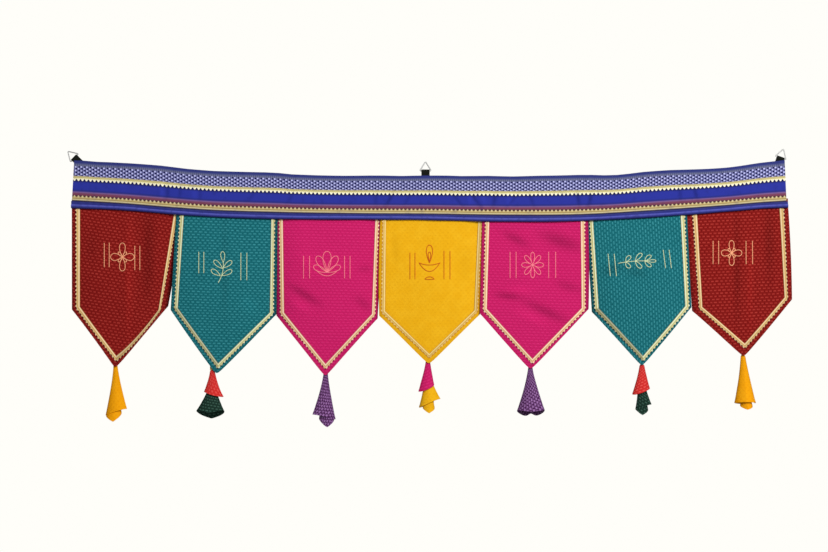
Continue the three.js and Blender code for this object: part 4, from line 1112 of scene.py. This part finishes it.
# A square of cloth rolled into a cone: t runs round the roll from the inner edge to the outer free edge and
# s runs down it. The outer turn flares to its hem, and winds into an inner turn with its own hem.
def rolledTassel(row):
    row = {**plainRoll, **row}
    words = [word for word in ("tassel", row["part"], str(row["number"])) if word]
    t, s = shareGrid(roll["columns"], roll["rows"])
    turnsIn = (1 - t) * roll["turns"]
    angle = math.radians(row["edge"]) + row["way"] * turnsIn * 2 * math.pi
    front = (np.degrees(angle) + 270) % 360 - 180  # degrees away from the front
    beside = np.abs(np.cos(angle))
    lift = (row["frontLift"] * (1 - np.sin(angle)) / 2 + row["sideLift"] * beside ** row["sidePower"]
            + row["slant"] * (1 + np.cos(angle - math.radians(row["slantAt"]))) / 2
            + row["arch"] * np.exp(-((np.abs(front) - 180) / roll["archHalf"]) ** 2))
    innerDrop, innerRise, innerAt, innerSide, innerHalf, innerShift = row["inner"]
    innerLift = innerRise * (1 + np.cos(angle - math.radians(innerAt))) / 2 + innerSide * beside
    first, last = row["begins"]
    begin = row["way"] * (first - row["edge"]) / 360 % 1
    share = eased(turnsIn, begin, begin + row["way"] * (last - first) / 360 % 1)
    drop = s * lerp(row["hem"] - lift, innerDrop - innerLift, share)
    down = drop / row["length"]
    swell = down ** row["bell"]
    wing = row["reach"] * down ** 2 * edgeShare(turnsIn, roll["wingShare"])
    pleats = (roll["pleat"] * np.sin(roll["pleats"] * angle) * np.exp(-down / roll["pleatFade"])
              + roll["wave"] * np.sin(roll["waves"] * angle + roll["waveTwist"] * down) * down)
    outer = lerp(row["neck"], row["flare"], swell) + wing - roll["pitch"] * turnsIn
    innerNeck = row["neck"] - roll["innerNeck"] * roll["pitch"]
    further = np.maximum(0, turnsIn - roll["innerFrom"])
    inner = lerp(innerNeck, innerHalf, swell) - roll["innerPitch"] * further
    radius = lerp(outer, inner, share) + pleats
    if row["tie"]:
        radius = radius * lerp(roll["tied"], 1, eased(drop, row["tie"] - 2, row["tie"] + 1))
    forward = row["inFront"] * (row["flare"] - roll["pitch"] - innerHalf)
    x = row["x"] + row["lean"] * down + innerShift * share * swell + radius * np.cos(angle)
    y = tasselY(row["number"]) + roll["depth"] * (radius * np.sin(angle) - forward * share * swell)
    middle = np.stack([x, y, row["z"] - drop], -1)
    hem = np.clip((drop - drop[:, -1:] + roll["hem"]) / roll["hemEase"], 0, 1)
    thickness = roll["thickness"] * (roll["plainShare"] + roll["hemShare"] * hem)
    turn = math.radians(row["turn"])
    around = turnsIn * 2 * math.pi * row["flare"] * roll["weaveShare"]
    uv = np.stack([around * math.cos(turn) - drop * math.sin(turn),
                   -drop * math.cos(turn) - around * math.sin(turn)], -1)
    # Painted shade on the front's left half, and painted shadow on the inside of the back
    shade = row["dark"] * eased(front, 6, -4) + row["backDark"] * eased(np.abs(front), 80, 115)
    cloth = row["cloth"]
    piece = putPiece(words[0] + "".join(word.capitalize() for word in words[1:]),
                     thickSheet(middle, thickness, uv), cloths[row.get("tone", cloth)], f"{cloth}_cloth",
                     "_".join(words), shade=np.tile(shade.ravel(), 2))
    drop.max() * mm
    panelPieces[row["number"] - 1]
    return piece


for row in tasselRows:
    rolledTassel(row)
print("tassels made:", len(tasselRows))

# Thread ties round three necks: the tassel's number, x, heights of the first and last turn, radius, turns
tieRows = [
    {"number": 2, "x": -288.2, "from": -273.5, "to": -279.5, "radius": 2, "turns": 6},
    {"number": 6, "x": 291.9, "from": -270.5, "to": -273, "radius": 1.7, "turns": 3},
    {"number": 7, "x": 428.5, "from": -258, "to": -260.5, "radius": 1.7, "turns": 3},
]
tie = {"pointsPerTurn": 16, "radius": 0.45, "sides": 6}


# A tie: a thread wound down the neck as a flattened helix
def threadTie(row):
    share = np.linspace(0, 1, row["turns"] * tie["pointsPerTurn"])
    turn = share * row["turns"] * 2 * math.pi
    path = np.stack([row["x"] + row["radius"] * np.cos(turn),
                     tasselY(row["number"]) + roll["depth"] * row["radius"] * np.sin(turn),
                     lerp(row["from"], row["to"], share)], -1)
    shape = threadTubes(path[None], tie["radius"], tie["sides"], front=(0, 0, 1))
    return putPiece(f"tieThread{row['number']}", shape, threads["tie"], "gold_lace", sharp=60)


for row in tieRows:
    threadTie(row)
print("ties made:", len(tieRows))

# Hangers: the middle of each ring's lower bar, the turn of ring and tab to the right, the ring's lean to
# the back, the ribbon's width, and how much further back it sits where its fold is behind the band
hangerRows = [
    {"name": "left", "x": -473, "z": 6.3, "turn": -46, "lean": 10, "width": 10.2, "back": 0},
    {"name": "middle", "x": 0, "z": -ringInsideApex * math.cos(math.radians(ring["apexLean"])), "turn": 0,
     "lean": ring["apexLean"], "width": 11.2, "back": 0},
    {"name": "right", "x": 478.8, "z": 6.3, "turn": 20, "lean": 10, "width": 10.6, "back": 0.9},
]


# Points turned about Y and set at a hanger's place
def atHanger(row, points):
    turn = math.radians(row["turn"])
    x, y, z = np.moveaxis(points, -1, 0)
    barY = (headingY(np.array([row["x"]]))[0] + band["halfDepth"] + seamGap + ribbon["halfDepth"]
            + row["back"])
    return np.stack([row["x"] + x * math.cos(turn) + z * math.sin(turn), barY + y,
                     row["z"] - x * math.sin(turn) + z * math.cos(turn)], -1)


# A ring: a triangle of wire with rounded corners that leans back from its lower bar
def wireRing(row):
    corners = [(-ring["side"] / 2, 0, 210), (ring["side"] / 2, 0, -30), (0, ringHeight, 90)]
    arcs = []
    for x, z, outward in corners:
        swing = np.radians(outward + np.linspace(-60, 60, 13))
        way = np.array([math.cos(math.radians(outward)), math.sin(math.radians(outward))])
        middle = np.array([x, z]) - 2 * ring["corner"] * way
        arcs.append(middle + ring["corner"] * np.stack([np.cos(swing), np.sin(swing)], -1))
    line = np.concatenate(arcs + [arcs[0][:1]])
    flat = evenly(line, ring["points"] + 1)[:-1]
    lean = math.radians(row["lean"])
    path = np.stack([flat[:, 0], flat[:, 1] * math.sin(lean), flat[:, 1] * math.cos(lean)], -1)
    path = atHanger(row, path)
    shape = threadTubes(path[None], ring["wire"], ring["sides"], closed=True, front=(0, 1, 0))
    name = row["name"]
    return putPiece(f"{name}HangerRing", shape, cloths["wire"], "ring_wire", f"hanger_ring_{name}",
                    sharp=60)


# A tab: a ribbon folded over the ring's lower bar, its two legs brought together below
def ribbonTab(row):
    leg, loop = ribbon["legMiddle"], ribbon["loopMiddle"]
    swing = np.linspace(0, math.pi, 15)
    arch = np.stack([-loop * np.cos(swing), loop * np.sin(swing)], -1)
    opening = bend((-leg, -ribbon["fold"]), (-loop, -ribbon["fold"] / 2), (-loop, 0))
    rise = np.concatenate([[(-leg, -ribbon["length"])], opening])
    line = np.concatenate([rise, arch[1:-1], rise[::-1] * (-1, 1)])
    profile = evenly(line, ribbon["rows"])
    across = np.linspace(-0.5, 0.5, ribbon["columns"]) * row["width"]
    middle = np.stack(np.broadcast_arrays(across[:, None], profile[None, :, 0], profile[None, :, 1]), -1)
    length = np.linalg.norm(np.diff(profile, axis=0), axis=1).sum()
    uv = np.stack(np.meshgrid(across, np.linspace(0, length, ribbon["rows"]), indexing="ij")[::-1], -1)
    shape = thickSheet(atHanger(row, middle), ribbon["thickness"], uv)
    name = row["name"]
    piece = putPiece(f"{name}HangerTab", shape, cloths["ribbon"], "black_ribbon", f"hanger_tab_{name}")
    row["width"] * mm
    return piece


for row in hangerRows:
    wireRing(row)
    ribbonTab(row)
print("hangers made:", len(hangerRows))

# Studio, in metres: a pale floor well below, soft white surroundings and one large lamp before the toran,
# a little to the right and above
studio = {"floorZ": -2.0, "floorHalf": 1.6, "surround": 0.3, "backdrop": (255, 254, 249),
          "lampPlace": (0.8, -2.3, 1.0), "lampAim": (0, 0, -0.14), "lampPower": 70, "lampSize": 0.9}
floorMesh = bpy.data.meshes.new("floor")
floorCorners = [(x * studio["floorHalf"], y * studio["floorHalf"], studio["floorZ"])
                for x, y in ((-1, -1), (1, -1), (1, 1), (-1, 1))]
floorMesh.from_pydata(floorCorners, [], [(0, 1, 2, 3)])
floor = bpy.data.objects.new("floor", floorMesh)
bpy.context.scene.collection.objects.link(floor)
floorPaint = bpy.data.materials.new("floorPaint")
floorPaint.use_nodes = True
floorGrain = mottle(floorPaint, 60)
finish(floorPaint, mixed(floorGrain, colour(236, 234, 230), colour(244, 243, 240)), 0.8, floorGrain, 0.2)
floorMesh.materials.append(floorPaint)

lampData = bpy.data.lights.new("lamp", "AREA")
lampData.energy = studio["lampPower"]
lampData.size = studio["lampSize"]
lamp = bpy.data.objects.new("lamp", lampData)
bpy.context.scene.collection.objects.link(lamp)
lamp.location = studio["lampPlace"]
towards = np.array(studio["lampAim"]) - np.array(studio["lampPlace"])
lamp.rotation_euler = (math.atan2(math.hypot(towards[0], towards[1]), -towards[2]), 0,
                       math.atan2(-towards[0], towards[1]))

# The surroundings light the cloth softly, and show as a bright backdrop behind it
world = bpy.data.worlds.new("studio")
bpy.context.scene.world = world
world.use_nodes = True
tree = world.node_tree
soft = tree.nodes["Background"]
soft.inputs["Color"].default_value = (1, 1, 1, 1)
soft.inputs["Strength"].default_value = studio["surround"]
backdrop = tree.nodes.new("ShaderNodeBackground")
backdrop.inputs["Color"].default_value = colour(*studio["backdrop"])
path = tree.nodes.new("ShaderNodeLightPath")
either = tree.nodes.new("ShaderNodeMixShader")
tree.links.new(path.outputs["Is Camera Ray"], either.inputs[0])
tree.links.new(soft.outputs[0], either.inputs[1])
tree.links.new(backdrop.outputs[0], either.inputs[2])
tree.links.new(either.outputs[0], tree.nodes["World Output"].inputs["Surface"])
bpy.context.scene.view_settings.view_transform = "Standard"
print("studio set")
